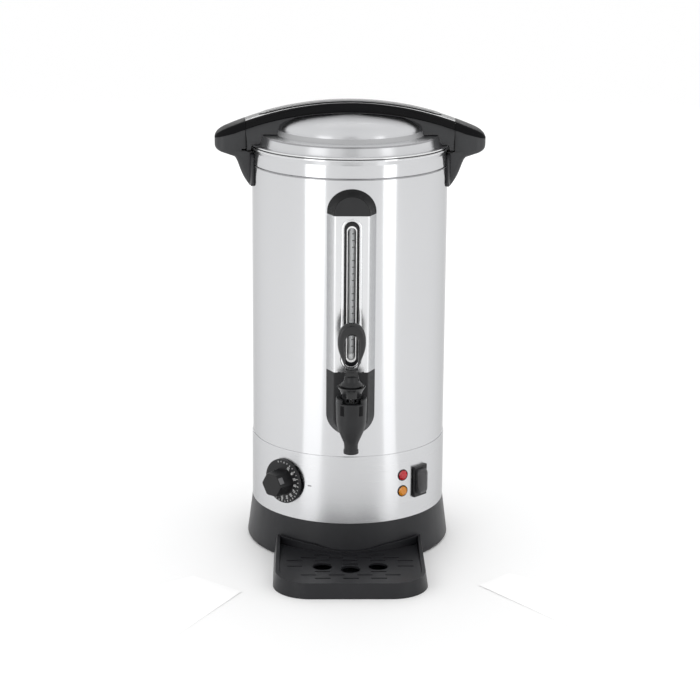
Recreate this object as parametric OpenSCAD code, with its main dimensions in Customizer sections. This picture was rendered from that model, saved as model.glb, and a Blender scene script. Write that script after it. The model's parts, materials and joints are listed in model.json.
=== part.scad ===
// Hot water urn: a steel tank on a control band and a flared base, with a
// twist-off lid under a bow handle, a sight-glass column, a lever tap and a
// loose drip tray.  Millimetres, +Z up.  The origin is on the table, on the
// tank's axis.  The tap points to -Y.

/* [Tank] */
// Outside radius of the tank wall
tank_r = 107.5; // [100:0.5:120]
// Thickness of the tank's sheet steel
tank_wall = 0.8; // [0.6:0.1:1.2]
// Height of the tank floor above the table
tank_floor_z = 106; // [100:1:112]
// Height of the tank's rim above the table
rim_z = 450; // [440:1:500]
// How far the rim's lip flares out past the wall
rim_flare = 2.5; // [2:0.1:3.5]
// Height of the flared neck under the rim
rim_neck = 6; // [4:0.5:9]
// Distance from the rim down to the pressed bead
bead_drop = 20.6; // [18:0.2:24]
// Depth of the pressed bead
bead_depth = 0.7; // [0.4:0.1:1]

/* [Control band] */
// Height of the control band's top edge above the table
band_top_z = 124; // [118:1:130]
// Thickness of the control band's sheet steel
band_wall = 0.7; // [0.6:0.1:1]

/* [Base] */
// Height of the flared base
base_h = 47; // [42:1:55]
// How much wider the base is at the table than at its top
base_flare = 5.6; // [3:0.2:7]
// Rounding of the base's lower edge
base_round = 3.5; // [2.5:0.5:6]
// Wall thickness of the base moulding
base_wall = 2.4; // [1.8:0.1:3]
// Height of the base's spigot inside the band
band_seat = 2; // [1.5:0.5:3]
// Height of the bottom plate above the table
plate_z = 5; // [4.5:0.5:7]
// Thickness of the bottom plate
plate_t = 1; // [0.8:0.1:1.5]
// Radius of the flat pressed in the middle of the bottom plate
dimple_r = 28; // [20:1:34]
// Radius of a rubber foot
foot_r = 9; // [7:0.5:11]
// Distance from the tank wall in to the middle of a rubber foot
foot_in = 17.5; // [15.5:0.5:21]
// Radius of the tie rods between the tank floor and the bottom plate
rod_r = 2.5; // [2:0.25:3]
// Distance of the tie rods from the axis
rod_ring = 70; // [62:1:72]

/* [Lid] */
// Thickness of the lid's sheet steel
lid_t = 0.8; // [0.6:0.1:1.2]
// Distance from the tank wall in to the top of the lid's outer step
lid_step_in = 9.5; // [8:0.5:12]
// Height of the lid's shelf above the rim
lid_step_h = 12.3; // [9:0.1:15]
// Slope of the lid's outer step, outwards over its height
lid_step_lean = 3.6; // [2:0.2:4]
// Distance from the tank wall in to the foot of the dome
lid_dome_in = 25; // [22:0.5:32]
// Height of the dome's steep foot above the shelf
lid_dome_foot = 5; // [3:0.5:7]
// Height of the dome's crown above its steep foot
lid_crown_h = 16; // [13:0.5:18]
// Depth of the locating ring inside the tank
lid_ring_h = 8; // [5:0.5:8]
// Gap between the locating ring and the tank wall
lid_ring_gap = 0.9; // [0.6:0.1:1.5]

/* [Handles] */
// Height of the bow handle's top above the rim
bow_top_h = 46.5; // [45.5:0.5:54]
// Drop of the bow's top from its middle to its ends
bow_drop = 20; // [17:0.5:22]
// Half width of the bow in its middle
bow_half_w = 14.5; // [12:0.5:17]
// Half width of the bow at its ends
bow_end_half_w = 18; // [15:0.5:20]
// Thickness of the bow's edge
bow_edge = 10.6; // [9:0.2:11.6]
// Half width of the bow's feet on the lid
bow_foot_half_w = 26; // [22:0.5:28]
// Distance from the tank wall out to the joint of bow and side handles
seam_out = 7.3; // [6:0.1:9]
// Distance that the side handles stand out from the tank wall
handle_reach = 40.5; // [36:0.5:46]
// Height of the side handle's nose above the rim
nose_h = 5; // [3:0.5:8]
// Distance from the rim down to the end of the side handle's leg
leg_drop = 44.5; // [40:0.5:50]
// Half width of the leg's plate on the tank
leg_half_w = 28; // [24:1:32]
// Half width of the leg's gusset
gusset_half_w = 16; // [12:1:18]
// Radius of the handle screws
handle_screw_r = 2.4; // [2:0.1:2.8]
// Gap left between the bow and the side handles
handle_gap = 0.4; // [0.3:0.1:0.8]

/* [Column] */
// Height of the lower end of the steel column cover
col_bottom_z = 223; // [218:1:228]
// Height of the upper end of the steel column cover
col_top_z = 393; // [385:1:400]
// Distance of the column's front face from the tank wall
col_depth = 12.5; // [12:0.1:14]
// Half width of the column's front face
col_front_half_w = 18.2; // [17:0.2:20]
// Half width of the column where it meets the tank
col_back_half_w = 26; // [24:0.5:28]
// Thickness of the column's sheet steel
col_t = 0.9; // [0.7:0.1:1.1]
// Height of the tap's inlet above the table
inlet_z = 185; // [182:1:190]
// Distance from the tap's inlet down to the middle of the block's round end
block_drop = 12; // [10:1:14]

/* [Gauge] */
// Radius of the gauge glass
glass_r = 4; // [3.5:0.1:4.2]
// Wall thickness of the gauge glass
glass_wall = 0.9; // [0.7:0.1:1.2]
// Width of the gauge's window
window_w = 9.8; // [9:0.2:11]
// Width of the dark frame around the gauge's window
frame_w = 3; // [2.5:0.25:3.5]
// Distance from the ends of the steel cover to the frame
frame_end = 6; // [5:0.5:8]

/* [Tap] */
// Distance of the tap's vertical axis from the tank wall
tap_reach = 42.5; // [40:0.5:46]
// Radius of the tap barrel at its top
barrel_r = 16.4; // [15.5:0.1:17]
// Height of the barrel's top above the inlet
barrel_up = 15; // [14:0.5:16]
// Distance from the inlet down to the spout's end
spout_drop = 44.5; // [42:0.5:48]
// Outside radius of the spout
spout_r = 7.8; // [7.4:0.1:8.2]
// Radius of the spout's bore
spout_bore_r = 5.5; // [5:0.1:6]
// Radius of the threaded shank through the tank wall
shank_r = 8; // [7.5:0.1:8.2]
// Radius of the bonnet above the barrel
bonnet_r = 10.4; // [10:0.1:11]
// Height of the bonnet above the barrel
bonnet_h = 10.7; // [9:0.1:12]
// Height of the lever's pivot above the bonnet
pivot_up = 8.3; // [8.1:0.1:9]
// Half width of the lever's loop
loop_half_w = 15.1; // [14:0.1:16]
// Height of the loop's top above the pivot
loop_top = 67; // [64:0.5:72]
// Thickness of the lever's loop
loop_t = 9; // [7:0.5:10]
// Radius of the lever's flared collar
collar_r = 13.8; // [13:0.1:14.5]
// Radius of the stem
stem_r = 2.5; // [2.2:0.1:2.8]

/* [Controls] */
// Angle of the thermostat knob from the front
knob_angle = -41; // [-44:1:-38]
// Height of the thermostat knob above the table
knob_z = 88; // [84:1:92]
// Radius of the knob's dial
dial_r = 25; // [23:0.5:27]
// Thickness of the knob's dial
dial_t = 3.2; // [2.5:0.1:4]
// Width of the knob's six-sided grip across its corners
grip_w = 27; // [24:0.5:30]
// Height of the knob's grip above the dial
grip_h = 18.5; // [15:0.5:22]
// Radius of the thermostat's shaft
shaft_r = 3; // [2.5:0.1:3.2]
// Angle of the lamps from the front
lamp_angle = 32.7; // [31:0.1:34]
// Height of the heating lamp above the table
lamp_high_z = 97.4; // [95:0.1:100]
// Height of the keep-warm lamp above the table
lamp_low_z = 79; // [76:0.1:82]
// Radius of a lamp's lens
lens_r = 5; // [4.5:0.1:5.5]
// Width of a lamp's bezel around its lens
lamp_bezel = 1.5; // [1:0.1:2]
// Angle of the switch from the front
switch_angle = 45.2; // [45:0.1:48]
// Height of the switch above the table
switch_z = 86.7; // [84:0.1:90]
// Width of the switch's frame
switch_w = 25.8; // [24:0.2:26.4]
// Height of the switch's frame
switch_h = 38; // [36:0.5:40]
// Tilt of the rocker to either side
rocker_tilt = 10; // [8:0.5:11]
// Height of the power inlet above the table
power_z = 85; // [82:1:90]

/* [Drip tray] */
// Half width of the tray at the table
tray_half_w = 83.3; // [80:0.5:88]
// Distance of the tray's front edge from the axis
tray_front = 210.5; // [206:0.5:222]
// Height of the tray's rim
tray_h = 17; // [15:0.5:20]
// Height of the tray's ears beside the base
tray_ear_h = 25.5; // [22:0.5:28]
// How far the tray's walls lean in over their height
tray_draft = 3.9; // [2:0.1:5]
// Radius of the tray's front corners
tray_corner = 40; // [34:1:44]
// Wall thickness of the tray
tray_wall = 2.2; // [1.8:0.1:2.6]
// Gap between the tray and the base
tray_gap = 0.5; // [0.4:0.1:1]
// Thickness of the grille
grille_t = 2.4; // [2:0.1:3]
// Radius of the grille's round holes
drain_r = 10.5; // [9:0.5:11]

/* [Hidden] */
$fn = 96;

// Colours
steel = "silver";
black = "#2b2c2e";
gloss_black = "#161617";
dark_grey = "#3a3b3d";
brass = "#b08d4a";
rubber = "#1c1c1c";
silicone = "#c9cdd0";
alu = "#a9acb0";

// Fits
touch = 0.1;
run_fit = 0.05;
move_gap = 0.3;
eps = 0.01;
thin_gap = 0.03;

// Tank and band
tank_in_r = tank_r - tank_wall;
rim_r = tank_r + rim_flare;
bead_z = rim_z - bead_drop;
band_in_r = tank_r + touch;
band_r = band_in_r + band_wall;
skirt_top_r = band_r + touch;
skirt_foot_r = skirt_top_r + base_flare;
spigot_r = band_in_r - touch;
plate_r = skirt_top_r - base_wall - 1.5;
ledge_in_r = band_in_r - 6;
foot_ring = tank_r - foot_in;

// Lid
flange_top = rim_z + lid_t;
shelf_z = rim_z + lid_step_h;
step_r = tank_r - lid_step_in;
step_foot_r = step_r + lid_step_lean;
dome_r = tank_r - lid_dome_in;
crease_r = dome_r - 2;
crease_z = shelf_z + lid_dome_foot;
flange_r = rim_r - 0.2;
lid_ring_r = tank_in_r - lid_ring_gap;
lid_screw_x = (dome_r + step_r) / 2;
lid_screw_y = 13;

// Handles
seam_r = tank_r + seam_out;
bow_top_z = rim_z + bow_top_h;
bow_arch_r = (seam_r * seam_r + bow_drop * bow_drop) / (2 * bow_drop);
nose_x = tank_r + handle_reach;
nose_z = rim_z + nose_h;
foot_z = rim_z - 5;
leg_z = rim_z - leg_drop;
leg_t = 3.5;
handle_screw_zs = [rim_z - 13, rim_z - 31];
inlay_half_l = 100;
inlay_half_w = 9;
inlay_t = 1.6;
inlay_stand = 0.8;
inlay_rib_half_w = 5.5;
nose_half_w = 19;
nose_round = 12;
washer_t = 1.5;
washer_r = 4.8;
washer_seat = tank_in_r - sqrt(tank_in_r * tank_in_r - washer_r * washer_r) + 0.02;

// Column and gauge
col_front = tank_r + col_depth;
col_back = sqrt(tank_r * tank_r - col_back_half_w * col_back_half_w);
block_z = inlet_z - block_drop;
block_wall = 1.2;
cap_wall = 1.2;
glass_y = -(tank_r + 5.2);
frame_half_w = window_w / 2 + frame_w;
frame_low_z = col_bottom_z + frame_end;
frame_high_z = col_top_z - frame_end;
tee_r = 13;
tee_back = tank_r + 1.1;
tee_front = col_front - col_t - block_wall - touch;
socket_r = 5;
socket_top_z = inlet_z + 27;
elbow_z = col_top_z + 6;
glass_low_z = socket_top_z + 0.3;
glass_high_z = elbow_z - 3;
sleeve_top_z = col_bottom_z + 20;
cap_screw_z = col_top_z + 18;
block_screw_z = block_z - 16;
column_screw_r = 1.5;

// Tap
tap_y = -(tank_r + tap_reach);
barrel_z = inlet_z + barrel_up;
spout_z = inlet_z - spout_drop;
seat_z = inlet_z - 9;
cavity_r = 12.5;
bonnet_z = barrel_z + bonnet_h;
pivot_z = bonnet_z + pivot_up;
cheek_r = pivot_up - 0.4;
slot_half_w = 3.4;
pin_r = 1.5;
eye_r = 4.4;
shoulder_z = seat_z + 9;
loop_open_half_w = 6.75;
loop_open_low = 16;

// Controls
dial_gap = 0.8;
dial_back = band_r + dial_gap;
bush_r = 4.8;
switch_in_w = 21.6;
switch_in_h = 30;
switch_stand = 3.2;
rocker_r = 13;
rocker_half_w = 7.5;
rocker_axis = band_r - 6;
rocker_face = 9.5;
boot_stand = 6;
boot_half_w = 9.6;
boot_half_l = 15.5;
boot_r = (boot_half_l * boot_half_l + boot_stand * boot_stand) / (2 * boot_stand);
inlet_in_w = 27.2;
inlet_in_h = 20;
inlet_screw_x = 20;
heat_plate_t = 8;
heat_plate_r = 60;
element_ring = 45;
element_end_x = 8;
element_end_y = sqrt(element_ring * element_ring - element_end_x * element_end_x);
element_r = 4;
button_r = 3;
cutout_x = 0;
cutout_y = 48;
terminal_y = -52;
tray_rim = 4.4;
tray_floor = 2;
slot_rows = [[18.5, [0, 30]], [28, [15, 45]], [37.5, [30]], [53.5, [60]], [59.5, [0]],
    [69.5, [0, 30, 60]], [78, [15, 45]], [86.5, [0, 30]]];
slot_half_t = 1.2;
drains = [[0, 44], [-30, 52.5], [30, 52.5]];
hole_gap = 0.15;

function arc(cx, cy, r, a0, a1, n) =
    [for (i = [0:n]) [cx + r * cos(a0 + (a1 - a0) * i / n), cy + r * sin(a0 + (a1 - a0) * i / n)]];
function bezier(p, q, r, s, n) = [for (i = [0:n]) let (t = i / n, u = 1 - t)
    u * u * u * p + 3 * u * u * t * q + 3 * u * t * t * r + t * t * t * s];
function mirrored(points) = [for (i = [len(points) - 1:-1:0]) [-points[i][0], points[i][1]]];

// A cylinder that lies along Y, from y0 to y1
module rod_y(r, y0, y1, sides = 96) {
    translate([0, y1, 0]) rotate([90, 0, 0]) cylinder(r = r, h = y1 - y0, $fn = sides);
}
// A cylinder that lies along X, from x0 to x1
module rod_x(r, x0, x1) {
    translate([x0, 0, 0]) rotate([0, 90, 0]) cylinder(r = r, h = x1 - x0);
}
// A flat shape in X and Z, made solid from y0 to y1
module plate_y(y0, y1) {
    translate([0, y1, 0]) rotate([90, 0, 0]) linear_extrude(height = y1 - y0) children();
}
// Places its child at an angle and height on a cylinder, with -Y pointing out
module on_wall(angle, r, z) {
    rotate([0, 0, angle]) translate([0, -r, z]) children();
}
// A flat shape with round ends, along Y of the sheet
module stadium(half_w, low, high) {
    translate([-half_w, low + half_w]) square([2 * half_w, high - low - 2 * half_w]);
    translate([0, low + half_w]) circle(r = half_w);
    translate([0, high - half_w]) circle(r = half_w);
}
// A pan-head screw along -Z: the head's underside is at z = 0
module screw(r, length, head_r, head_h) {
    translate([0, 0, -length]) cylinder(r = r, h = length);
    difference() {
        cylinder(r = head_r, h = head_h);
        for (a = [0, 90]) rotate([0, 0, a])
            translate([-head_r * 0.6, -0.5, head_h - 1]) cube([head_r * 1.2, 1, 2]);
    }
}
// A round wire through a list of points
module wire(points, r) {
    for (i = [0:len(points) - 2]) {
        d = points[i + 1] - points[i];
        translate(points[i]) rotate([0, acos(d[2] / norm(d)), atan2(d[1], d[0])])
            cylinder(r = r, h = norm(d), $fn = 16);
    }
    for (i = [1:len(points) - 2]) translate(points[i]) sphere(r = r, $fn = 16);
}

// ---- tank, band and base -------------------------------------------------

module tank() {
    color(steel) difference() {
        rotate_extrude() polygon(concat(
            [[0, tank_floor_z]],
            arc(tank_r - 5, tank_floor_z + 5, 5, -90, 0, 5),
            [[tank_r, bead_z - 1.2], [tank_r - bead_depth, bead_z], [tank_r, bead_z + 1.2],
             [tank_r, rim_z - rim_neck], [rim_r, rim_z - 1.2], [rim_r, rim_z],
             [rim_r - 1.4, rim_z], [tank_in_r, rim_z - rim_neck],
             [tank_in_r, bead_z + 1.2], [tank_in_r - bead_depth, bead_z],
             [tank_in_r, bead_z - 1.2]],
            arc(tank_r - 5, tank_floor_z + 5, 5 - tank_wall, 0, -90, 5),
            [[0, tank_floor_z + tank_wall]]));
        translate([0, 0, inlet_z]) rod_y(shank_r + hole_gap, -tank_r - 5, -tank_r + 9);
        translate([0, 0, elbow_z]) rod_y(3 + hole_gap, -tank_r - 5, -tank_r + 9);
        for (z = [cap_screw_z, block_screw_z]) translate([0, 0, z])
            rod_y(column_screw_r + hole_gap, -tank_r - 5, -tank_r + 5);
        for (side = [-1, 1]) for (z = handle_screw_zs) translate([side * tank_r, 0, z])
            rod_x(handle_screw_r + hole_gap, -5, 5);
    }
}

module control_band() {
    color(steel) difference() {
        rotate_extrude() polygon([[band_in_r, base_h], [band_r, base_h],
            [band_r, band_top_z - 0.4], [band_r - 0.4, band_top_z], [band_in_r, band_top_z]]);
        on_wall(knob_angle, band_r, knob_z) rod_y(bush_r + hole_gap, -5, 8);
        for (z = [lamp_high_z, lamp_low_z])
            on_wall(lamp_angle, band_r, z) rod_y(lens_r + 0.4 + hole_gap, -5, 8);
        on_wall(switch_angle, band_r, switch_z)
            translate([-switch_in_w / 2 - hole_gap, -5, -switch_in_h / 2 - hole_gap])
                cube([switch_in_w + 2 * hole_gap, 13, switch_in_h + 2 * hole_gap]);
        on_wall(180, band_r, power_z)
            translate([-inlet_in_w / 2 - hole_gap, -5, -inlet_in_h / 2 - hole_gap])
                cube([inlet_in_w + 2 * hole_gap, 13, inlet_in_h + 2 * hole_gap]);
        for (side = [-1, 1]) on_wall(180, band_r, power_z)
            translate([side * inlet_screw_x, 0, 0]) rod_y(1.5 + hole_gap, -5, 8);
    }
}

skirt_profile = concat(
    [[skirt_top_r, base_h]],
    arc(skirt_foot_r - base_round, base_round, base_round, 8, -60, 6),
    [[skirt_foot_r - base_round, 0]]);

module base_skirt() {
    notch_w = 3.4;
    color(black) difference() {
        rotate_extrude() polygon(concat(skirt_profile,
            [[plate_r + touch, 0], [plate_r + touch, plate_z + plate_t],
             [plate_r - 4, plate_z + plate_t], [plate_r - 4, plate_z + plate_t + 3],
             [skirt_foot_r - base_round - base_wall, plate_z + plate_t + 5],
             [skirt_top_r - base_wall, base_h - 5], [ledge_in_r, base_h - 3],
             [ledge_in_r, base_h - 1], [spigot_r - 1.6, base_h - 1],
             [spigot_r - 1.6, base_h + band_seat], [spigot_r, base_h + band_seat],
             [spigot_r, base_h]]));
        for (a = [-118, -62, 62, 118, 180]) rotate([0, 0, a])
            translate([-notch_w / 2, -skirt_foot_r - 1, -1]) cube([notch_w, 14, 4]);
    }
}

foot_angles = [45, 135, 225, 315];
rod_angles = [90, 210, 330];

module bottom_plate() {
    cone_r = dimple_r + 8;
    color(alu) difference() {
        rotate_extrude() polygon([[0, 0], [dimple_r, 0], [cone_r, plate_z], [plate_r, plate_z],
            [plate_r, plate_z + plate_t], [cone_r - 0.4, plate_z + plate_t],
            [dimple_r - 0.4, plate_t], [0, plate_t]]);
        for (a = foot_angles) rotate([0, 0, a]) translate([foot_ring, 0, plate_z - 1])
            cylinder(r = foot_r / 2 + hole_gap, h = plate_t + 2);
        for (a = rod_angles) rotate([0, 0, a]) translate([rod_ring, 0, plate_z - 1])
            cylinder(r = rod_r + hole_gap, h = plate_t + 2);
        translate([cutout_x, cutout_y, plate_z - 1]) cylinder(r = button_r + 0.4, h = plate_t + 2);
    }
}

module rubber_feet() {
    color(rubber) for (a = foot_angles) rotate([0, 0, a]) translate([foot_ring, 0, 0]) {
        cylinder(r1 = foot_r - 1, r2 = foot_r, h = plate_z);
        cylinder(r = foot_r / 2, h = plate_z + plate_t + 1);
        translate([0, 0, plate_z + plate_t]) cylinder(r1 = foot_r / 2 + 1.2, r2 = foot_r / 2, h = 2);
    }
}

module tie_rods() {
    color(steel) for (a = rod_angles) rotate([0, 0, a]) translate([rod_ring, 0, 1.2])
        cylinder(r = rod_r, h = tank_floor_z - 1.2);
}

module tie_rod_nuts() {
    color(steel) for (a = rod_angles) rotate([0, 0, a]) translate([rod_ring, 0, plate_z - 3])
        difference() {
            cylinder(r = rod_r * 1.9, h = 3, $fn = 6);
            translate([0, 0, -1]) cylinder(r = rod_r + eps, h = 5);
        }
}

// ---- lid -----------------------------------------------------------------

// Outer surface of the lid, from the crown out to the step's foot
dome_steps = 14;
function dome_z(r) = crease_z + lid_crown_h * pow(1 - pow(r / crease_r, 2.5), 1 / 2.7);
dome_profile = [for (i = [0:dome_steps]) let (r = crease_r * sin(90 * i / dome_steps))
    [r, dome_z(min(r, crease_r))]];
lid_profile = concat(dome_profile,
    [[dome_r - 0.4, shelf_z + 1], [dome_r + 1, shelf_z], [step_r - 1.2, shelf_z],
     [step_r, shelf_z - 1.2], [step_foot_r, flange_top + 1]]);

// The lid as a solid, grown by c, for cutting what stands on it
module lid_form(c) {
    rotate_extrude() polygon(concat([for (p = lid_profile) [p[0] + (p[0] > 0 ? c : 0), p[1] + c]],
        [[step_foot_r + 1 + c, flange_top + c], [flange_r + c, flange_top + c],
         [flange_r + c, rim_z - 1], [0, rim_z - 1]]));
}

module lid_shell() {
    n = len(lid_profile) - 1;
    inner = [for (i = [n:-1:0]) [max(lid_profile[i][0] - lid_t, 0), lid_profile[i][1] - lid_t]];
    color(steel) difference() {
        rotate_extrude() polygon(concat(lid_profile,
            [[step_foot_r + 1, flange_top], [flange_r, flange_top], [flange_r, rim_z],
             [step_foot_r + 1 - lid_t, rim_z]],
            inner));
        for (x = [-lid_screw_x, lid_screw_x]) for (y = [-lid_screw_y, lid_screw_y])
            translate([x, y, shelf_z - 3]) cylinder(r = 1.9 + hole_gap, h = 6);
    }
}

module lid_locating_ring() {
    color(steel) rotate_extrude() polygon([[lid_ring_r - 3, rim_z], [lid_ring_r, rim_z],
        [lid_ring_r, rim_z - lid_ring_h], [lid_ring_r - lid_t, rim_z - lid_ring_h],
        [lid_ring_r - lid_t, rim_z - lid_t], [lid_ring_r - 3, rim_z - lid_t]]);
}

function bow_z(x) = bow_top_z - bow_arch_r + sqrt(bow_arch_r * bow_arch_r - x * x);
bow_steps = 12;
bow_xs = [for (i = [-bow_steps:bow_steps]) i / bow_steps * (seam_r + 1)];

// The bow's outline from above: narrow in the middle, wider at both ends
module bow_plan(half_mid, half_end, half_l) {
    side = bezier([-half_l, -half_end], [-half_l / 2, -half_end], [-half_l / 2.5, -half_mid],
        [0, -half_mid], 10);
    front = concat(side, mirrored([for (i = [0:len(side) - 2]) side[i]]));
    polygon(concat(front, [for (i = [len(front) - 1:-1:0]) [front[i][0], -front[i][1]]]));
}

web_x = 60;
web_z = bow_top_z - bow_edge - 8;

module lid_handle() {
    color(black) difference() {
        intersection() {
            union() {
                intersection() {
                    plate_y(-40, 40) polygon(concat([for (x = bow_xs) [x, bow_z(x)]],
                        [for (i = [len(bow_xs) - 1:-1:0]) [bow_xs[i], bow_z(bow_xs[i]) - bow_edge]]));
                    translate([0, 0, rim_z]) linear_extrude(height = bow_top_h + 1)
                        bow_plan(bow_half_w, bow_end_half_w, seam_r + 1);
                }
                for (side = [-1, 1]) intersection() {
                    plate_y(-40, 40) polygon([for (p = concat(
                        [for (x = bow_xs) if (x > web_x) [x, bow_z(x) - bow_edge + eps]],
                        [[seam_r + 1, foot_z], [web_x, foot_z], [web_x, bow_z(web_x) - bow_edge]]))
                        [side * p[0], p[1]]]);
                    rotate([90, 0, 90]) translate([0, 0, -150]) linear_extrude(height = 300)
                        polygon(concat(
                            bezier([bow_end_half_w - 1.5, bow_top_z], [bow_end_half_w - 1.5, web_z - 6],
                                [bow_foot_half_w, shelf_z + 8], [bow_foot_half_w, foot_z], 8),
                            mirrored(bezier([bow_end_half_w - 1.5, bow_top_z],
                                [bow_end_half_w - 1.5, web_z - 6],
                                [bow_foot_half_w, shelf_z + 8], [bow_foot_half_w, foot_z], 8))));
                }
            }
            cylinder(r = seam_r, h = bow_top_z + 10);
        }
        lid_form(touch);
        translate([0, 0, foot_z - 1]) cylinder(r = rim_r + move_gap + 0.1, h = rim_z - foot_z + 1.5);
        inlay_form(inlay_half_w + touch, inlay_half_l + touch, inlay_t + touch, 3);
        for (x = [-lid_screw_x, lid_screw_x]) for (y = [-lid_screw_y, lid_screw_y])
            translate([x, y, shelf_z - 3]) cylinder(r = 1.9 + eps, h = 15);
    }
}

// What stands out of the bow's top, for its pocket and for the inlay itself
module inlay_form(half_w, half_l, below, above) {
    xs = [for (i = [-bow_steps:bow_steps]) i / bow_steps * half_l];
    intersection() {
        plate_y(-half_w, half_w) polygon(concat([for (x = xs) [x, bow_z(x) + above]],
            [for (i = [len(xs) - 1:-1:0]) [xs[i], bow_z(xs[i]) - below]]));
        translate([0, 0, rim_z]) linear_extrude(height = bow_top_h + 3)
            rotate([0, 0, 90]) stadium(half_w, -half_l, half_l);
    }
}

module lid_handle_inlay() {
    color(dark_grey) {
        inlay_form(inlay_half_w, inlay_half_l, inlay_t, inlay_stand);
        inlay_form(inlay_rib_half_w, inlay_half_l - 8, 0, inlay_stand + 0.5);
    }
}

module lid_handle_screws() {
    color(steel) for (x = [-lid_screw_x, lid_screw_x]) for (y = [-lid_screw_y, lid_screw_y])
        translate([x, y, shelf_z - lid_t]) rotate([180, 0, 0]) screw(1.9, 12, 3.8, 2);
}

// ---- side handles --------------------------------------------------------

// Outline of one side handle in X and Z
arch_end_x = nose_x - 11;
side_outline = concat(
    [for (i = [0:4]) let (x = tank_r - 5 + i / 5 * (arch_end_x - tank_r + 5)) [x, bow_z(x)]],
    bezier([arch_end_x, bow_z(arch_end_x)], [nose_x - 5, bow_z(arch_end_x) - 3],
        [nose_x, nose_z + 6], [nose_x, nose_z], 8),
    bezier([nose_x, nose_z - 4], [nose_x, nose_z - 9],
        [nose_x - 5, nose_z - 12.5], [nose_x - 12, nose_z - 14.5], 6),
    bezier([tank_r + 19.5, nose_z - 17.5], [tank_r + 15, nose_z - 19.5],
        [tank_r + 14, nose_z - 33], [tank_r + 6.5, leg_z + 5.5], 8),
    [[tank_r + leg_t - 1.5, leg_z], [tank_r - 5, leg_z]]);

module side_handle(side) {
    slot_low_z = rim_z - 6;
    color(black) difference() {
        union() {
            intersection() {
                mirror([side < 0 ? 1 : 0, 0, 0]) plate_y(-40, 40) polygon(side_outline);
                translate([0, 0, leg_z + 20]) linear_extrude(height = 100)
                    mirror([side < 0 ? 1 : 0, 0, 0]) polygon(concat(
                        [[tank_r - 10, -nose_half_w], [nose_x - nose_round, -nose_half_w]],
                        arc(nose_x - nose_round, nose_round - nose_half_w, nose_round, -90, 0, 6),
                        arc(nose_x - nose_round, nose_half_w - nose_round, nose_round, 0, 90, 6),
                        [[tank_r - 10, nose_half_w]]));
            }
            intersection() {
                mirror([side < 0 ? 1 : 0, 0, 0]) plate_y(-40, 40) polygon(side_outline);
                translate([side * tank_r, 0, 0]) rotate([90, 0, 90])
                    translate([0, 0, -10]) linear_extrude(height = 60)
                        polygon([[-gusset_half_w, leg_z + 4], [gusset_half_w, leg_z + 4],
                            [nose_half_w, nose_z - 14], [-nose_half_w, nose_z - 14]]);
            }
            intersection() {
                difference() {
                    cylinder(r = tank_r + leg_t, h = rim_z - 8);
                    cylinder(r = tank_r - 5, h = rim_z);
                }
                translate([side * tank_r, 0, 0]) rotate([90, 0, 90])
                    translate([0, 0, -12]) linear_extrude(height = 24)
                        polygon([[4 - leg_half_w, leg_z], [leg_half_w - 4, leg_z],
                            [leg_half_w, leg_z + 4], [leg_half_w, rim_z - 14],
                            [leg_half_w - 8, rim_z - 8], [8 - leg_half_w, rim_z - 8],
                            [-leg_half_w, rim_z - 14], [-leg_half_w, leg_z + 4]]);
            }
        }
        // Against the tank, and clear of the lid and its bow above the rim
        cylinder(r = tank_r + touch, h = rim_z - rim_neck - 1);
        translate([0, 0, rim_z - rim_neck - 1.5]) cylinder(r = rim_r + touch, h = 60);
        translate([0, 0, foot_z - move_gap]) cylinder(r = seam_r + handle_gap, h = 80);
        // The slot for the bow's foot, and the holes of the screws
        rotate([0, 0, side > 0 ? 0 : 180]) translate([0, 8, slot_low_z])
            cube([seam_r + 3.5, nose_half_w, 2]);
        for (z = handle_screw_zs) translate([0, 0, z])
            rod_x(handle_screw_r + eps, side > 0 ? tank_r - 5 : -tank_r - 6.2, side > 0 ? tank_r + 6.2 : 5 - tank_r);
    }
}
module side_handle_left() { side_handle(-1); }
module side_handle_right() { side_handle(1); }

module handle_screws() {
    color(steel) for (side = [-1, 1]) for (z = handle_screw_zs)
        translate([side * (tank_in_r - washer_t), 0, z]) rotate([0, side * -90, 0])
            screw(handle_screw_r, 8, 4.4, 2.4);
}

module handle_washers() {
    color(silicone) for (side = [-1, 1]) for (z = handle_screw_zs)
        translate([side * tank_in_r, 0, z]) rotate([0, side * -90, 0])
            translate([0, 0, washer_seat]) difference() {
                cylinder(r = washer_r, h = washer_t - washer_seat);
                translate([0, 0, -1]) cylinder(r = handle_screw_r + eps, h = washer_t + 2);
            }
}

// ---- column --------------------------------------------------------------

col_lean = atan((col_back_half_w - col_front_half_w) / (col_front - col_back));
col_round = 4;
// Half width of the column at the distance d, with the outline moved in by t
function col_half(d, t) = col_front_half_w + (col_front - d) * tan(col_lean) - t / cos(col_lean);
function col_side(t) = let (r = col_round - t, d = col_front - t - r) concat(
    [[col_half(col_back - 3, t), 3 - col_back]],
    arc(col_half(d, t + r), -d, r, -col_lean, -90, 4));
function col_outline(t) = concat(col_side(t), mirrored(col_side(t)));
// The column's section turned about a level axis, as on its round ends
module col_dome(t) {
    side = [for (p = col_side(t)) [p[0], -p[1]]];
    rotate([90, 0, 0]) rotate_extrude() polygon(concat([[0, col_back - 3]], side,
        [[0, col_front - t]]));
}
module col_prism(t, low, high) {
    translate([0, 0, low]) linear_extrude(height = high - low) polygon(col_outline(t));
}
module half_space(up) {
    translate([-100, -200, up ? 0 : -200]) cube(200);
}

module column_cover() {
    color(steel) difference() {
        col_prism(0, col_bottom_z, col_top_z);
        col_prism(col_t, col_bottom_z - 1, col_top_z + 1);
        cylinder(r = tank_r + touch, h = 500);
        plate_y(-col_front - 1, -col_front + 3)
            stadium(window_w / 2 + frame_w / 2 + hole_gap, frame_low_z + frame_w / 2 - hole_gap,
                frame_high_z - frame_w / 2 + hole_gap);
    }
}

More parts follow.
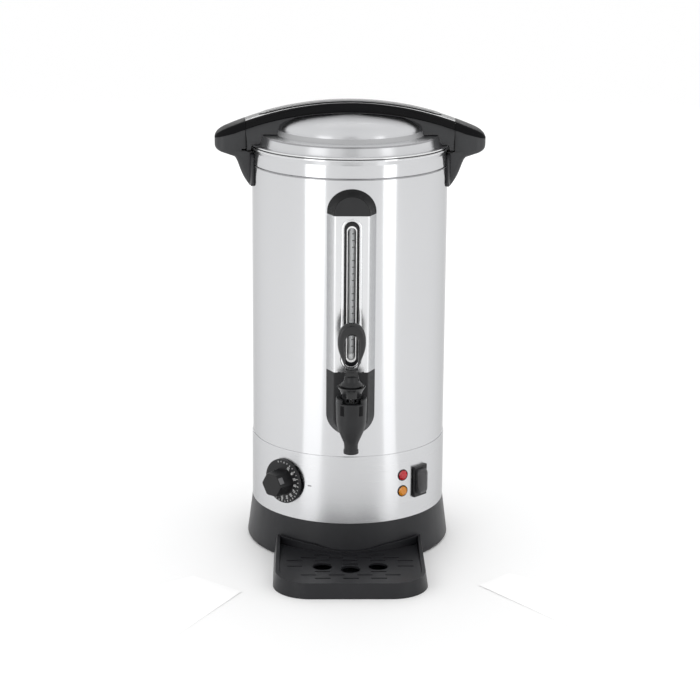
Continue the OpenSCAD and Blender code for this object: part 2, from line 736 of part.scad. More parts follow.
module column_top_cap() {
    dome_z0 = col_top_z + 2;
    color(black) difference() {
        union() {
            col_prism(0, col_top_z, dome_z0);
            col_prism(col_t + hole_gap, col_top_z - 4, dome_z0);
            translate([0, 0, dome_z0]) intersection() {
                col_dome(0);
                half_space(true);
            }
        }
        col_prism(col_t + cap_wall, col_top_z - 5, dome_z0);
        difference() {
            translate([0, 0, dome_z0]) intersection() {
                col_dome(cap_wall);
                translate([0, 0, -eps]) half_space(true);
            }
            translate([0, 0, cap_screw_z]) rod_y(4.5, -col_front, -tank_r);
        }
        cylinder(r = tank_r + touch, h = 500);
        translate([0, 0, cap_screw_z]) rod_y(column_screw_r + eps, -tank_r - 9, -90);
    }
}

module column_bottom_block() {
    color(black) difference() {
        union() {
            col_prism(0, block_z, col_bottom_z);
            col_prism(col_t + hole_gap, block_z, col_bottom_z + 4);
            translate([0, 0, block_z]) intersection() {
                col_dome(0);
                half_space(false);
            }
        }
        col_prism(col_t + block_wall, block_z, col_bottom_z + 5);
        difference() {
            translate([0, 0, block_z + eps]) intersection() {
                col_dome(block_wall);
                half_space(false);
            }
            translate([0, 0, block_screw_z]) rod_y(4.5, -col_front, -tank_r);
        }
        cylinder(r = tank_r + touch, h = 500);
        translate([0, 0, block_screw_z]) rod_y(column_screw_r + eps, -tank_r - 9, -90);
        translate([0, 0, inlet_z]) rod_y(shank_r + hole_gap, -col_front - 5, -col_front + 5);
    }
}

module column_screws() {
    color(steel) for (z = [cap_screw_z, block_screw_z])
        translate([0, -tank_in_r + 0.4, z]) rotate([-90, 0, 0]) screw(column_screw_r, 8, 3, 1.8);
}

// ---- gauge ---------------------------------------------------------------

module gauge_frame() {
    lip = frame_w / 2;
    color(gloss_black) difference() {
        union() {
            plate_y(-col_front - 1, -col_front)
                stadium(frame_half_w, frame_low_z, frame_high_z);
            plate_y(-col_front, -col_front + col_t + 0.6)
                stadium(frame_half_w - lip, frame_low_z + lip, frame_high_z - lip);
        }
        plate_y(-col_front - 3, -col_front + 5)
            stadium(window_w / 2, frame_low_z + frame_w, frame_high_z - frame_w);
    }
}

module gauge_glass() {
    color("white") translate([0, glass_y, glass_low_z]) difference() {
        cylinder(r = glass_r, h = glass_high_z - glass_low_z);
        translate([0, 0, -1]) cylinder(r = glass_r - glass_wall, h = glass_high_z - glass_low_z + 2);
    }
}

module gauge_tee() {
    color(brass) difference() {
        union() {
            translate([0, 0, inlet_z]) rod_y(tee_r, -tee_front, -tee_back);
            translate([0, glass_y, inlet_z]) cylinder(r = glass_r, h = socket_top_z - inlet_z);
        }
        translate([0, 0, inlet_z]) rod_y(shank_r + run_fit, -tee_front - 1, -tee_back + 1);
        translate([0, 0, inlet_z]) rod_y(shank_r + 2, -tee_front + 3, -tee_back - 3);
        translate([0, glass_y, inlet_z]) cylinder(r = 2.2, h = socket_top_z - inlet_z + 1);
    }
}

module gauge_elbow() {
    color(brass) difference() {
        union() {
            translate([0, 0, elbow_z]) rod_y(5.6, -col_front + col_t + cap_wall + 0.3, -tank_r - 0.3);
            translate([0, 0, elbow_z]) rod_y(3, -tank_r - 1, -tank_in_r + 6);
            translate([0, glass_y, elbow_z - 8]) cylinder(r = glass_r + 1.1, h = 8);
        }
        translate([0, 0, elbow_z]) rod_y(1.6, glass_y, -tank_in_r + 7);
        translate([0, glass_y, elbow_z - 9]) cylinder(r = glass_r + 0.3, h = glass_high_z - elbow_z + 9.2);
        translate([0, glass_y, elbow_z - 5]) cylinder(r = 2, h = 5);
    }
}

module gauge_elbow_nut() {
    color(brass) difference() {
        translate([0, 0, elbow_z]) rod_y(6, -tank_in_r + 0.3, -tank_in_r + 3.8, 6);
        translate([0, 0, elbow_z]) rod_y(3 + eps, -tank_r, -tank_in_r + 5);
    }
}

module gauge_seals() {
    color(silicone) {
        difference() {
            translate([0, glass_y, inlet_z + tee_r + 1])
                cylinder(r = socket_r, h = sleeve_top_z - inlet_z - tee_r - 1);
            translate([0, glass_y, inlet_z]) cylinder(r = glass_r + eps, h = socket_top_z - inlet_z + 0.2);
            translate([0, glass_y, inlet_z + 5]) cylinder(r = glass_r + eps, h = sleeve_top_z - inlet_z);
        }
        difference() {
            translate([0, glass_y, elbow_z - 7.8]) cylinder(r = glass_r + 0.3 - eps, h = 4);
            translate([0, glass_y, elbow_z - 9]) cylinder(r = glass_r + eps, h = 9);
        }
    }
}

// ---- tap -----------------------------------------------------------------

module at_tap() {
    translate([0, tap_y, 0]) children();
}

module tap_body() {
    ear_h = 4.4;
    color(black) difference() {
        union() {
            at_tap() rotate_extrude() polygon([[0, spout_z], [spout_r - 0.4, spout_z],
                [spout_r + 0.3, spout_z + 0.8], [spout_r + 0.3, spout_z + 3.5],
                [spout_r - 0.3, spout_z + 4.5], [spout_r - 0.3, spout_z + 10.5],
                [barrel_r - 1.6, seat_z - 6], [barrel_r - 0.6, seat_z + 1],
                [barrel_r, barrel_z - 1], [barrel_r - 0.8, barrel_z], [0, barrel_z]]);
            at_tap() intersection() {
                translate([0, 0, barrel_z - 1]) cylinder(r = barrel_r, h = ear_h + 1);
                union() for (side = [-1, 1])
                    translate([side * (barrel_r - 3.5) - 3.5, -11, barrel_z - 1]) cube([7, 22, ear_h + 1]);
            }
            translate([0, 0, inlet_z]) rod_y(shank_r + 4, tap_y + 8, -col_front);
            translate([0, 0, inlet_z]) rod_y(shank_r, -col_front - 1, -tank_in_r + 12);
        }
        at_tap() translate([0, 0, spout_z - 1]) cylinder(r = spout_bore_r, h = seat_z - spout_z + 2);
        at_tap() translate([0, 0, seat_z]) cylinder(r = cavity_r, h = barrel_z - seat_z + 1);
        at_tap() translate([0, 0, barrel_z]) cylinder(r = cavity_r - 1, h = ear_h + 1);
        translate([0, 0, inlet_z]) rod_y(5, tap_y + 8, -tank_in_r + 13);
        translate([0, glass_y, inlet_z]) cylinder(r = 2.2, h = shank_r + 1);
    }
}

module tap_washers() {
    color(silicone) {
        difference() {
            translate([0, 0, inlet_z]) rod_y(tee_r, -tee_back + thin_gap, -tank_r + 2);
            cylinder(r = tank_r + thin_gap, h = 300);
            translate([0, 0, inlet_z]) rod_y(shank_r + eps, -tee_back - 1, -tank_r + 3);
        }
        difference() {
            intersection() {
                translate([0, 0, inlet_z]) rod_y(tee_r, -tank_in_r - 1, -tank_in_r + washer_t + 0.8);
                cylinder(r = tank_in_r - thin_gap, h = 300);
            }
            translate([0, 0, inlet_z]) rod_y(shank_r + eps, -tank_in_r - 2, -tank_in_r + 5);
        }
    }
}

module tap_lock_nut() {
    color(brass) translate([0, 0, inlet_z]) difference() {
        rod_y(13.5, -tank_in_r + washer_t + 0.8, -tank_in_r + washer_t + 6.8, 6);
        rod_y(shank_r + eps, -tank_in_r, -tank_in_r + 12);
    }
}

module tap_bonnet() {
    color(black) at_tap() difference() {
        union() {
            translate([0, 0, barrel_z - 8]) cylinder(r = cavity_r - eps, h = 8);
            translate([0, 0, barrel_z]) cylinder(r = bonnet_r, h = bonnet_h);
        }
        translate([0, 0, barrel_z - 9]) cylinder(r = 7.4, h = 7 + bonnet_h);
        cylinder(r = stem_r + run_fit, h = 400);
        for (a = [-24:24:24]) rotate([0, 0, a])
            translate([-1.6, -bonnet_r - 1, barrel_z + 1.2]) cube([3.2, 6, bonnet_h - 4.2]);
    }
}

module tap_spring() {
    turns = 6;
    low = shoulder_z;
    color(steel) at_tap() translate([0, 0, low])
        linear_extrude(height = barrel_z + bonnet_h - 2 - low, twist = -360 * turns, slices = 12 * turns, segments = 8)
            polygon(concat(arc(0, 0, 5.8, 0, 110, 3), arc(0, 0, 4.6, 110, 0, 3)));
}

module tap_stem() {
    color(alu) at_tap() difference() {
        union() {
            translate([0, 0, seat_z + 3]) cylinder(r = stem_r, h = pivot_z - seat_z - 3);
            translate([0, 0, seat_z + 3]) cylinder(r = 5, h = 1.5);
            translate([0, 0, shoulder_z - 1.5]) cylinder(r = 6.6, h = 1.5);
            translate([0, 0, pivot_z]) rod_x(eye_r, -slot_half_w + move_gap, slot_half_w - move_gap);
        }
        translate([0, 0, pivot_z]) rod_x(pin_r + run_fit, -10, 10);
    }
}

module tap_seat_cup() {
    color(silicone) at_tap() difference() {
        rotate_extrude() polygon([[0, seat_z], [8, seat_z], [8.6, seat_z + 1.5],
            [7, seat_z + 7.4], [0, seat_z + 7.4]]);
        translate([0, 0, seat_z + 3 - eps]) cylinder(r = 5 + eps, h = 1.5 + 2 * eps);
        translate([0, 0, seat_z + 3]) cylinder(r = stem_r + eps, h = 10);
    }
}

lever_half = concat(
    bezier([9.4, pivot_z + 2], [8, pivot_z + 5], [6.5, pivot_z + 9], [6.5, pivot_z + 14], 5),
    bezier([6.6, pivot_z + 15], [7.4, pivot_z + 24], [loop_half_w, pivot_z + 32],
        [loop_half_w, pivot_z + 46], 8),
    bezier([loop_half_w, pivot_z + 47], [loop_half_w, pivot_z + loop_top - 7],
        [9.5, pivot_z + loop_top], [0, pivot_z + loop_top], 8));

module tap_lever() {
    color(black) at_tap() difference() {
        union() {
            plate_y(-loop_t / 2, loop_t / 2) polygon(concat(lever_half, mirrored(lever_half)));
            rotate_extrude() polygon([[0, pivot_z - 6], [collar_r - 2.6, pivot_z - 6],
                [collar_r, pivot_z - 2.6], [9.6, pivot_z + 2], [7, pivot_z + 9], [0, pivot_z + 9]]);
        }
        plate_y(-loop_t, loop_t)
            stadium(loop_open_half_w, pivot_z + loop_open_low, pivot_z + loop_top - 14);
        translate([-slot_half_w, -9, pivot_z - 10]) cube([2 * slot_half_w, 30, 15]);
        translate([0, 0, pivot_z]) rod_x(pin_r + eps, -9, 9);
    }
}

module tap_lever_pin() {
    color(steel) at_tap() translate([0, 0, pivot_z]) rod_x(pin_r, -8.8, 8.8);
}

// ---- controls ------------------------------------------------------------

module thermostat_knob() {
    front = dial_back + dial_t;
    color(black) on_wall(knob_angle, 0, knob_z) difference() {
        union() {
            rotate([90, 0, 0]) rotate_extrude() polygon([[0, dial_back], [dial_r, dial_back],
                [dial_r, front - 1], [dial_r - 1, front], [0, front]]);
            rotate([0, 30, 0]) rod_y(grip_w / 2, -front - grip_h, -front + 1, 6);
        }
        rod_y(shaft_r + eps, -front - grip_h + 5, -dial_back + 1);
    }
}

module thermostat_shaft() {
    color(steel) on_wall(knob_angle, 0, knob_z)
        rod_y(shaft_r, -dial_back - dial_t - grip_h + 5.2, -band_in_r + 9);
}

module thermostat_body() {
    face = band_in_r - 1;
    color(alu) on_wall(knob_angle, 0, knob_z) difference() {
        union() {
            rod_y(14, -face, -face + 20);
            rod_y(bush_r, -band_r - 0.5, -face + 1);
            translate([-9, -face + 20 - eps, -9]) cube([18, 3, 18]);
        }
        rod_y(shaft_r + run_fit, -band_r - 2, -band_in_r + 9.2);
    }
}

module thermostat_probe() {
    color(brass) on_wall(knob_angle, 0, 0) {
        translate([0, 0, tank_floor_z - 2.5]) rod_y(2.5, -81, -63, 32);
        wire([[0, -88, knob_z + 14.9], [0, -80, knob_z + 14.9]], 0.8);
    }
}

module lens(z, tint) {
    color(tint) on_wall(lamp_angle, 0, z) rotate([90, 0, 0]) rotate_extrude()
        polygon(concat([[0, band_r - 3], [lens_r, band_r - 3]],
            [for (i = [0:5]) [lens_r * cos(i * 18), band_r + 1.3 + 1.3 * sin(i * 18)]]));
}
module heating_lamp_lens() { lens(lamp_high_z, "#c8141a"); }
module keep_warm_lamp_lens() { lens(lamp_low_z, "#e08a10"); }

module lamp_holders() {
    color(black) for (z = [lamp_high_z, lamp_low_z]) on_wall(lamp_angle, 0, z) difference() {
        union() {
            rod_y(lens_r + lamp_bezel, -band_r - 1.2, -band_r + 0.1);
            rod_y(lens_r + 0.4, -band_r, -band_r + 15);
        }
        rod_y(lens_r + eps, -band_r - 2, -band_r + 3 + eps);
        difference() {
            rod_y(lens_r + 3, -band_r, -band_r + 1);
            rod_y(lens_r + 0.4, -band_r - 1, -band_r + 2);
        }
    }
}

module switch_housing() {
    front = band_r + switch_stand;
    color(black) on_wall(switch_angle, 0, switch_z) difference() {
        union() {
            difference() {
                translate([-switch_w / 2, -front, -switch_h / 2]) cube([switch_w, 8, switch_h]);
                translate([0, 0, -50]) cylinder(r = band_r + touch, h = 100);
            }
            translate([-switch_in_w / 2, -front + 0.5, -switch_in_h / 2])
                cube([switch_in_w, switch_stand + 20, switch_in_h]);
        }
        translate([0, -rocker_axis, 0]) rod_x(rocker_r + move_gap, -rocker_half_w - move_gap,
            rocker_half_w + move_gap);
        translate([0, -rocker_axis, 0]) rod_x(1.5 + run_fit, -switch_in_w / 2 + 1, switch_in_w / 2 - 1);
    }
}

module switch_rocker() {
    color(gloss_black) on_wall(switch_angle, rocker_axis, switch_z) rotate([rocker_tilt, 0, 0]) {
        intersection() {
            rod_x(rocker_r, -rocker_half_w, rocker_half_w);
            union() {
                rotate([rocker_tilt, 0, 0]) translate([-20, -rocker_face, -20]) cube([40, 8, 20]);
                rotate([-rocker_tilt, 0, 0]) translate([-20, -rocker_face, 0]) cube([40, 8, 20]);
                rod_x(4, -20, 20);
            }
        }
        rod_x(1.5, -rocker_half_w - 1.6, rocker_half_w + 1.6);
    }
}

module switch_boot() {
    front = band_r + switch_stand;
    color([0.3, 0.3, 0.32, 0.5]) on_wall(switch_angle, 0, switch_z) difference() {
        translate([0, -front, 0]) intersection() {
            translate([0, boot_r - boot_stand, 0]) rod_x(boot_r, -boot_half_w, boot_half_w);
            translate([-50, -50, -50]) cube([100, 50, 100]);
        }
        translate([0, -front + boot_r - boot_stand, 0])
            rod_x(boot_r - 1, -boot_half_w + 1, boot_half_w - 1);
    }
}

module power_inlet() {
    front = band_r + 4;
    color(black) on_wall(180, 0, power_z) difference() {
        union() {
            difference() {
                translate([-25, -front, -12.5]) cube([50, 14, 25]);
                translate([0, 0, -50]) cylinder(r = band_r + touch, h = 100);
            }
            translate([-inlet_in_w / 2, -front + 0.5, -inlet_in_h / 2]) cube([inlet_in_w, 24, inlet_in_h]);
        }
        translate([-12.2, -front - 1, -8.2]) cube([24.4, 18, 16.4]);
        for (side = [-1, 1]) translate([side * inlet_screw_x, 0, 0]) rod_y(1.5 + eps, -front - 1, -90);
    }
}

module inlet_pins() {
    color(steel) on_wall(180, 0, power_z) for (p = [[-7, -2], [0, 2], [7, -2]])
        translate([p[0] - 1, -band_r + 3, p[1] - 2]) cube([2, 10 - eps, 4]);
}

module inlet_screws() {
    color(steel) on_wall(180, 0, power_z) for (side = [-1, 1])
        translate([side * inlet_screw_x, -band_r - 4, 0]) rotate([90, 0, 0]) screw(1.5, 12, 2.9, 1.4);
}

// ---- heating -------------------------------------------------------------

module heat_plate() {
    color(alu) difference() {
        translate([0, 0, tank_floor_z - heat_plate_t]) cylinder(r = heat_plate_r, h = heat_plate_t);
        element_form(run_fit);
    }
}
module element_form(c) {
    translate([0, 0, tank_floor_z - heat_plate_t]) {
        rotate_extrude() translate([element_ring, 0]) circle(r = element_r + c, $fn = 48);
        for (side = [-1, 1]) translate([side * element_end_x, -element_end_y, -12])
            cylinder(r = 3 + c, h = 12);
    }
}
module heater_element() { color(steel) element_form(0); }

module cutout_body() {
    color(black) translate([cutout_x, cutout_y, plate_z + plate_t]) difference() {
        translate([-13, -8, 0]) cube([26, 16, 22]);
        translate([0, 0, -1]) cylinder(r = button_r + run_fit, h = 11);
    }
}

module cutout_reset_button() {
    color("firebrick") translate([cutout_x, cutout_y, plate_z - 0.8])
        cylinder(r = button_r, h = plate_t + 0.8 + 7);
}

module cutout_probe() {
    color(brass) {
        translate([0, 14, tank_floor_z - heat_plate_t - 2.5]) rod_x(2.5, -15, 15);
        wire([[cutout_x, cutout_y, plate_z + plate_t + 22.2], [cutout_x, cutout_y, 60],
            [0, 14, tank_floor_z - heat_plate_t - 3]], 0.8);
    }
}

module terminal_block() {
    color("ivory") translate([0, terminal_y, plate_z + plate_t]) difference() {
        translate([-24, -8, 0]) cube([48, 16, 14]);
        for (i = [-2:2]) for (side = [-1, 1]) translate([i * 9, side * 4, 9]) cylinder(r = 2, h = 6);
    }
}

module wiring() {
    top = plate_z + plate_t + 15;
    rear = band_r - 22;
    lamp = band_r - 16;
    color("#7a2a20") {
        for (i = [-1:1]) wire([[i * 7, rear, power_z], [24 + i * 5, 56, 66],
            [24 + i * 5, -16, 34], [i * 9, terminal_y + 4, top]], 1.2);
        for (side = [-1, 1]) wire([[side * element_end_x, -element_end_y, tank_floor_z
            - heat_plate_t - 12.2], [side * 9, terminal_y - 2, 50], [side * 9, terminal_y - 4, top]], 1.2);
        for (z = [lamp_high_z, lamp_low_z]) wire([[lamp * sin(lamp_angle), -lamp * cos(lamp_angle), z],
            [lamp * 0.8 * sin(lamp_angle), -lamp * 0.8 * cos(lamp_angle), z - 20],
            [18 - (z - lamp_low_z) / 10, terminal_y - 4, top]], 1);
        wire([[86.6 * sin(switch_angle), -86.6 * cos(switch_angle), switch_z],
            [76 * sin(switch_angle), -76 * cos(switch_angle), switch_z - 25],
            [18, terminal_y + 4, top]], 1.2);
        wire([[82 * sin(knob_angle), -82 * cos(knob_angle), knob_z],
            [74 * sin(knob_angle), -74 * cos(knob_angle), knob_z - 20],
            [-18, terminal_y - 4, top]], 1.2);
    }
}

// ---- drip tray -----------------------------------------------------------

tray_slope = tray_draft / tray_ear_h;
tray_back_r = skirt_foot_r + tray_gap;
tray_corner_x = tray_half_w - tray_corner;
tray_corner_y = tray_front - tray_corner;
ear_y = 79;

// The tray's outside, moved in by t all round and leaning in with height
module tray_form(t, h, slope) {
    d = h * slope;
    for (side = [-1, 1]) translate([side * tray_corner_x, -tray_corner_y, 0])
        cylinder(r1 = tray_corner - t, r2 = tray_corner - t - d, h = h);
    rotate([90, 0, 90]) translate([0, 0, -tray_corner_x]) linear_extrude(height = 2 * tray_corner_x)
        polygon([[t - tray_front, 0], [t + d - tray_front, h], [-ear_y, h], [-ear_y, 0]]);
    plate_y(-tray_corner_y, -ear_y) polygon([[t - tray_half_w, 0], [tray_half_w - t, 0],
        [tray_half_w - t - d, h], [t + d - tray_half_w, h]]);
}
// What lies in front of the base, cut off at the ears
module before_base(r, back) {
    difference() {
        translate([-100, -230, -5]) cube([200, 230 - back, 60]);
        translate([0, 0, -10]) cylinder(r = r, h = 80);
    }
}

basin_in = tray_rim + tray_h * tray_slope;
module drip_tray() {
    rim_cut = concat([[-240, tray_h], [-152, tray_h]],
        bezier([-150, tray_h], [-125, tray_h], [-110, tray_ear_h], [-84, tray_ear_h], 8),
        [[-84, 60], [-240, 60]]);
    color(black) difference() {
        intersection() {
            tray_form(0, tray_ear_h, tray_slope);
            before_base(tray_back_r, ear_y);
        }
        // Above the rim in front, up to the ears beside the base
        rotate([90, 0, 90]) translate([0, 0, -100]) linear_extrude(height = 200) polygon(rim_cut);
        // The low middle of the back wall
        plate_y(-130, -70) polygon(concat(
            bezier([-56, tray_ear_h + 1], [-40, tray_ear_h], [-30, tray_h + 0.5], [0, tray_h + 0.5], 8),
            bezier([0, tray_h + 0.5], [30, tray_h + 0.5], [40, tray_ear_h], [56, tray_ear_h + 1], 8)));
        // Seat of the grille, and the basin below it
        translate([0, 0, tray_h - grille_t - 0.5]) intersection() {
            tray_form(basin_in, 30, 0);
            before_base(tray_back_r + tray_wall, ear_y + tray_wall);
        }
        translate([0, 0, tray_floor]) intersection() {
            tray_form(basin_in + 2, 30, 0);
            before_base(tray_back_r + tray_wall + 2, ear_y + tray_wall + 2);
        }
        // Open from below between the outer skirt and the basin
        difference() {
            translate([0, 0, -1]) intersection() {
                tray_form(tray_wall, tray_h - 3, tray_slope);
                before_base(tray_back_r + tray_wall, ear_y + tray_wall);
            }
            translate([0, 0, -2]) intersection() {
                tray_form(basin_in, 40, 0);
                before_base(tray_back_r, ear_y);
            }
        }
    }
}

module drip_grille() {
    gap = 0.4;
    top = tray_h - 0.5;
    slot_l = 15;
    color(dark_grey) difference() {
        translate([0, 0, top - grille_t]) intersection() {
            tray_form(basin_in + gap, grille_t, 0);
            before_base(tray_back_r + tray_wall + gap, ear_y + tray_wall + gap);
        }
        for (d = drains) translate([d[0], d[1] - tray_front, 0]) cylinder(r = drain_r, h = 40);
        for (row = slot_rows) for (x = row[1]) for (side = x == 0 ? [1] : [-1, 1])
            translate([side * x, row[0] - tray_front, 0]) {
                translate([-slot_l / 2, -slot_half_t, 0]) cube([slot_l, 2 * slot_half_t, 40]);
                for (e = [-1, 1]) translate([e * slot_l / 2, 0, 0]) cylinder(r = slot_half_t, h = 40);
            }
    }
}

// ---- nodes ---------------------------------------------------------------

tank();
control_band();
base_skirt();
bottom_plate();
rubber_feet();
tie_rods();
tie_rod_nuts();
lid_shell();
lid_locating_ring();
lid_handle();
lid_handle_inlay();
lid_handle_screws();
side_handle_left();
side_handle_right();
handle_screws();
handle_washers();
column_cover();
column_top_cap();
column_bottom_block();
column_screws();
gauge_frame();
gauge_glass();
gauge_tee();
gauge_elbow();
gauge_elbow_nut();
gauge_seals();
tap_body();
tap_washers();
tap_lock_nut();
tap_bonnet();
tap_spring();
tap_stem();
tap_seat_cup();
tap_lever();
tap_lever_pin();
thermostat_knob();
thermostat_shaft();
thermostat_body();
thermostat_probe();
heating_lamp_lens();
keep_warm_lamp_lens();
lamp_holders();
switch_housing();
switch_rocker();
switch_boot();
power_inlet();
inlet_pins();
inlet_screws();
heat_plate();
heater_element();
cutout_body();
cutout_reset_button();
cutout_probe();
terminal_block();
wiring();
drip_tray();
drip_grille();
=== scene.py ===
import bmesh
import bpy
import json
from math import asin, atan2, cos, degrees, hypot, pi, radians, sin, sqrt
from mathutils import Matrix, Vector


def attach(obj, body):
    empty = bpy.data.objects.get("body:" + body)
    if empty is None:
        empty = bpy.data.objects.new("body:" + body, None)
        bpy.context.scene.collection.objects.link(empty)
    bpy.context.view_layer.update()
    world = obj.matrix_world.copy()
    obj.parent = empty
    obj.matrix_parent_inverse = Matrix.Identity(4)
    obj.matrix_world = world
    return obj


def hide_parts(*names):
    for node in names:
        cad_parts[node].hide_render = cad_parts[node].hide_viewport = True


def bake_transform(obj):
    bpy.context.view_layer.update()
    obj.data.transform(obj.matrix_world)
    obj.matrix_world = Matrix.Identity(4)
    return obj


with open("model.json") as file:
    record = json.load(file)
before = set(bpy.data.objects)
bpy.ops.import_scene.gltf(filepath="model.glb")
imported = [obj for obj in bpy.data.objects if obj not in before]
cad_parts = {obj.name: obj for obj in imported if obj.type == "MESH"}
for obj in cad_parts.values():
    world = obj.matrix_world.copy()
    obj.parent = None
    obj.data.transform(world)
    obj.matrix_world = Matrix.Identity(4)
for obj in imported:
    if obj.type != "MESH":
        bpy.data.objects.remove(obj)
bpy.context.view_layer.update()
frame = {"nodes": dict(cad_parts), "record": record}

# A hot water urn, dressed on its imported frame.  Metres; +Z up; the tap points to -Y.
scene = bpy.context.scene
NODES = frame["nodes"]
BODY_OF = {node: body for body, nodes in frame["record"]["behaviour"]["bodies"].items() for node in nodes}
SIDES = (("left", -1), ("right", 1))


def put(name, data):
    """A new object in the scene."""
    made = bpy.data.objects.new(name, data)
    scene.collection.objects.link(made)
    return made


def set_inputs(node, values):
    """Sets plain values on a node's own sockets."""
    for label, value in values.items():
        node.inputs[label].default_value = value


def moved(x, y, z):
    return Matrix.Translation((x, y, z))


def turned(angle, axis="Z"):
    """A turn in degrees."""
    return Matrix.Rotation(radians(angle), 4, axis)


# ---- camera, light and floor -------------------------------------------------------------

CAM_DISTANCE, CAM_HEIGHT = 2.2398, 0.8378
CAM_AZIMUTH, CAM_TILT, CAM_ROLL = -1.3, 90 - 15.55, 0.42

camera_data = bpy.data.cameras.new("camera")
camera_data.lens = 106.24
camera_data.sensor_width = 36
camera_data.shift_x = 0.0021
camera_data.clip_end = 30
camera = put("camera", camera_data)
camera.matrix_world = (turned(CAM_AZIMUTH) @ moved(0, -CAM_DISTANCE, CAM_HEIGHT)
                       @ turned(CAM_TILT, "X") @ turned(CAM_ROLL))
scene.camera = camera


def soft_light(name, azimuth, distance, low, high, width, power):
    """A tall soft box that stands at an angle from the front and faces the axis."""
    data = bpy.data.lights.new(name, "AREA")
    data.shape = "RECTANGLE"
    data.size = width
    data.size_y = high - low
    data.energy = power
    light = put(name, data)
    light.matrix_world = turned(azimuth) @ moved(0, -distance, (low + high) / 2) @ turned(90, "X")


scene.view_settings.view_transform = "Standard"
world = bpy.data.worlds.new("studio")
scene.world = world
world.use_nodes = True
set_inputs(world.node_tree.nodes["Background"], {"Color": (1, 1, 1, 1), "Strength": 1.05})

# Distances from the axis between which the glow of a painted sheet comes up
GLOW_FROM, GLOW_FULL = 0.18, 0.42


def paint(name, tone, glow):
    """A plain matt paint for what stands round the object.  Its glow fades towards the axis."""
    made = bpy.data.materials.new(name)
    made.use_nodes = True
    tree = made.node_tree
    shader = tree.nodes["Principled BSDF"]
    set_inputs(shader, {"Base Color": (tone, tone, tone, 1), "Roughness": 0.9, "Emission Strength": glow})
    place = tree.nodes.new("ShaderNodeTexCoord")
    reach = tree.nodes.new("ShaderNodeVectorMath")
    reach.operation = "LENGTH"
    fade = tree.nodes.new("ShaderNodeMapRange")
    fade.interpolation_type = "SMOOTHSTEP"
    set_inputs(fade, {"From Min": GLOW_FROM, "From Max": GLOW_FULL})
    tree.links.new(place.outputs["Object"], reach.inputs[0])
    tree.links.new(reach.outputs["Value"], fade.inputs["Value"])
    tree.links.new(fade.outputs["Result"], shader.inputs["Emission Color"])
    return made


def stage_sheet(name, corners, tone, glow=0.0):
    """A plain sheet that lies or stands round the object."""
    mesh = bpy.data.meshes.new(name)
    mesh.from_pydata(corners, [], [(0, 1, 2, 3)])
    mesh.materials.append(paint(name + "_paint", tone, glow))
    put(name, mesh)


FLOOR_HALF, FLOOR_TONE = 14, 0.95
STRIP_DISTANCE, STRIP_TOP = 1.9, 1.1
PATH_START, PATH_LIFT, PATH_GLOW = 0.22, 0.0008, 0.4


def lit_path(azimuth, near_half, far_half):
    """The stretch of floor in front of a strip light, which carries its brightness on to the base."""
    halves = ((-near_half, PATH_START), (-far_half, STRIP_DISTANCE), (far_half, STRIP_DISTANCE),
              (near_half, PATH_START))
    return [turned(azimuth) @ Vector((across, -out, PATH_LIFT)) for across, out in halves]


floor_corners = [(x * FLOOR_HALF, y * FLOOR_HALF, 0) for x, y in ((-1, -1), (1, -1), (1, 1), (-1, 1))]
stage_sheet("floor", floor_corners, FLOOR_TONE)
for side_name, azimuth, width, power, near_half in (("left", -40.5, 0.78, 3.9, 0.035),
                                                    ("right", 45, 0.5, 2.5, 0.025)):
    soft_light(side_name + "_strip", azimuth, STRIP_DISTANCE, 0.0, STRIP_TOP, width, power)
    stage_sheet(side_name + "_path", lit_path(azimuth, near_half, width / 2), FLOOR_TONE, PATH_GLOW)
soft_light("rear_panel", 180, 3.2, 1.25, 1.85, 3.2, 24)
# A grey card that the steel shows as its darker middle; it is out of the camera's view
card_corners = [(x, -3.1, z) for x, z in ((-0.55, 1.1), (0.55, 1.1), (0.55, 2.6), (-0.55, 2.6))]
stage_sheet("front_card", card_corners, 0.35)

# ---- finishes ----------------------------------------------------------------------------


def new_group(name, inputs, outputs):
    """An empty shader group with named float sockets, and its two end nodes."""
    group = bpy.data.node_groups.new(name, "ShaderNodeTree")
    for label, value in inputs:
        socket = group.interface.new_socket(name=label, in_out="INPUT", socket_type="NodeSocketFloat")
        socket.default_value = value
    for label in outputs:
        group.interface.new_socket(name=label, in_out="OUTPUT", socket_type="NodeSocketFloat")
    return group, group.nodes.new("NodeGroupInput"), group.nodes.new("NodeGroupOutput")


def math_node(tree, operation, a, b, clamp=False):
    """One step of arithmetic on sockets or plain numbers."""
    node = tree.nodes.new("ShaderNodeMath")
    node.operation = operation
    node.use_clamp = clamp
    for socket, value in zip(node.inputs, (a, b)):
        if isinstance(value, (int, float)):
            socket.default_value = value
        else:
            tree.links.new(value, socket)
    return node.outputs[0]


def times(tree, a, b):
    return math_node(tree, "MULTIPLY", a, b)


def centred(tree, value):
    """A noise that swings about nought."""
    return math_node(tree, "SUBTRACT", value, 0.5)


def noise_node(tree, vector, scale, detail, rough=0.5):
    node = tree.nodes.new("ShaderNodeTexNoise")
    set_inputs(node, {"Scale": scale, "Detail": detail, "Roughness": rough})
    tree.links.new(vector, node.inputs["Vector"])
    return node.outputs["Fac"]


def stretched(tree, scale):
    """Object coordinates, stretched by scale along X, Y and Z."""
    place = tree.nodes.new("ShaderNodeTexCoord")
    mapping = tree.nodes.new("ShaderNodeMapping")
    set_inputs(mapping, {"Scale": scale})
    tree.links.new(place.outputs["Object"], mapping.inputs["Vector"])
    return mapping.outputs["Vector"]


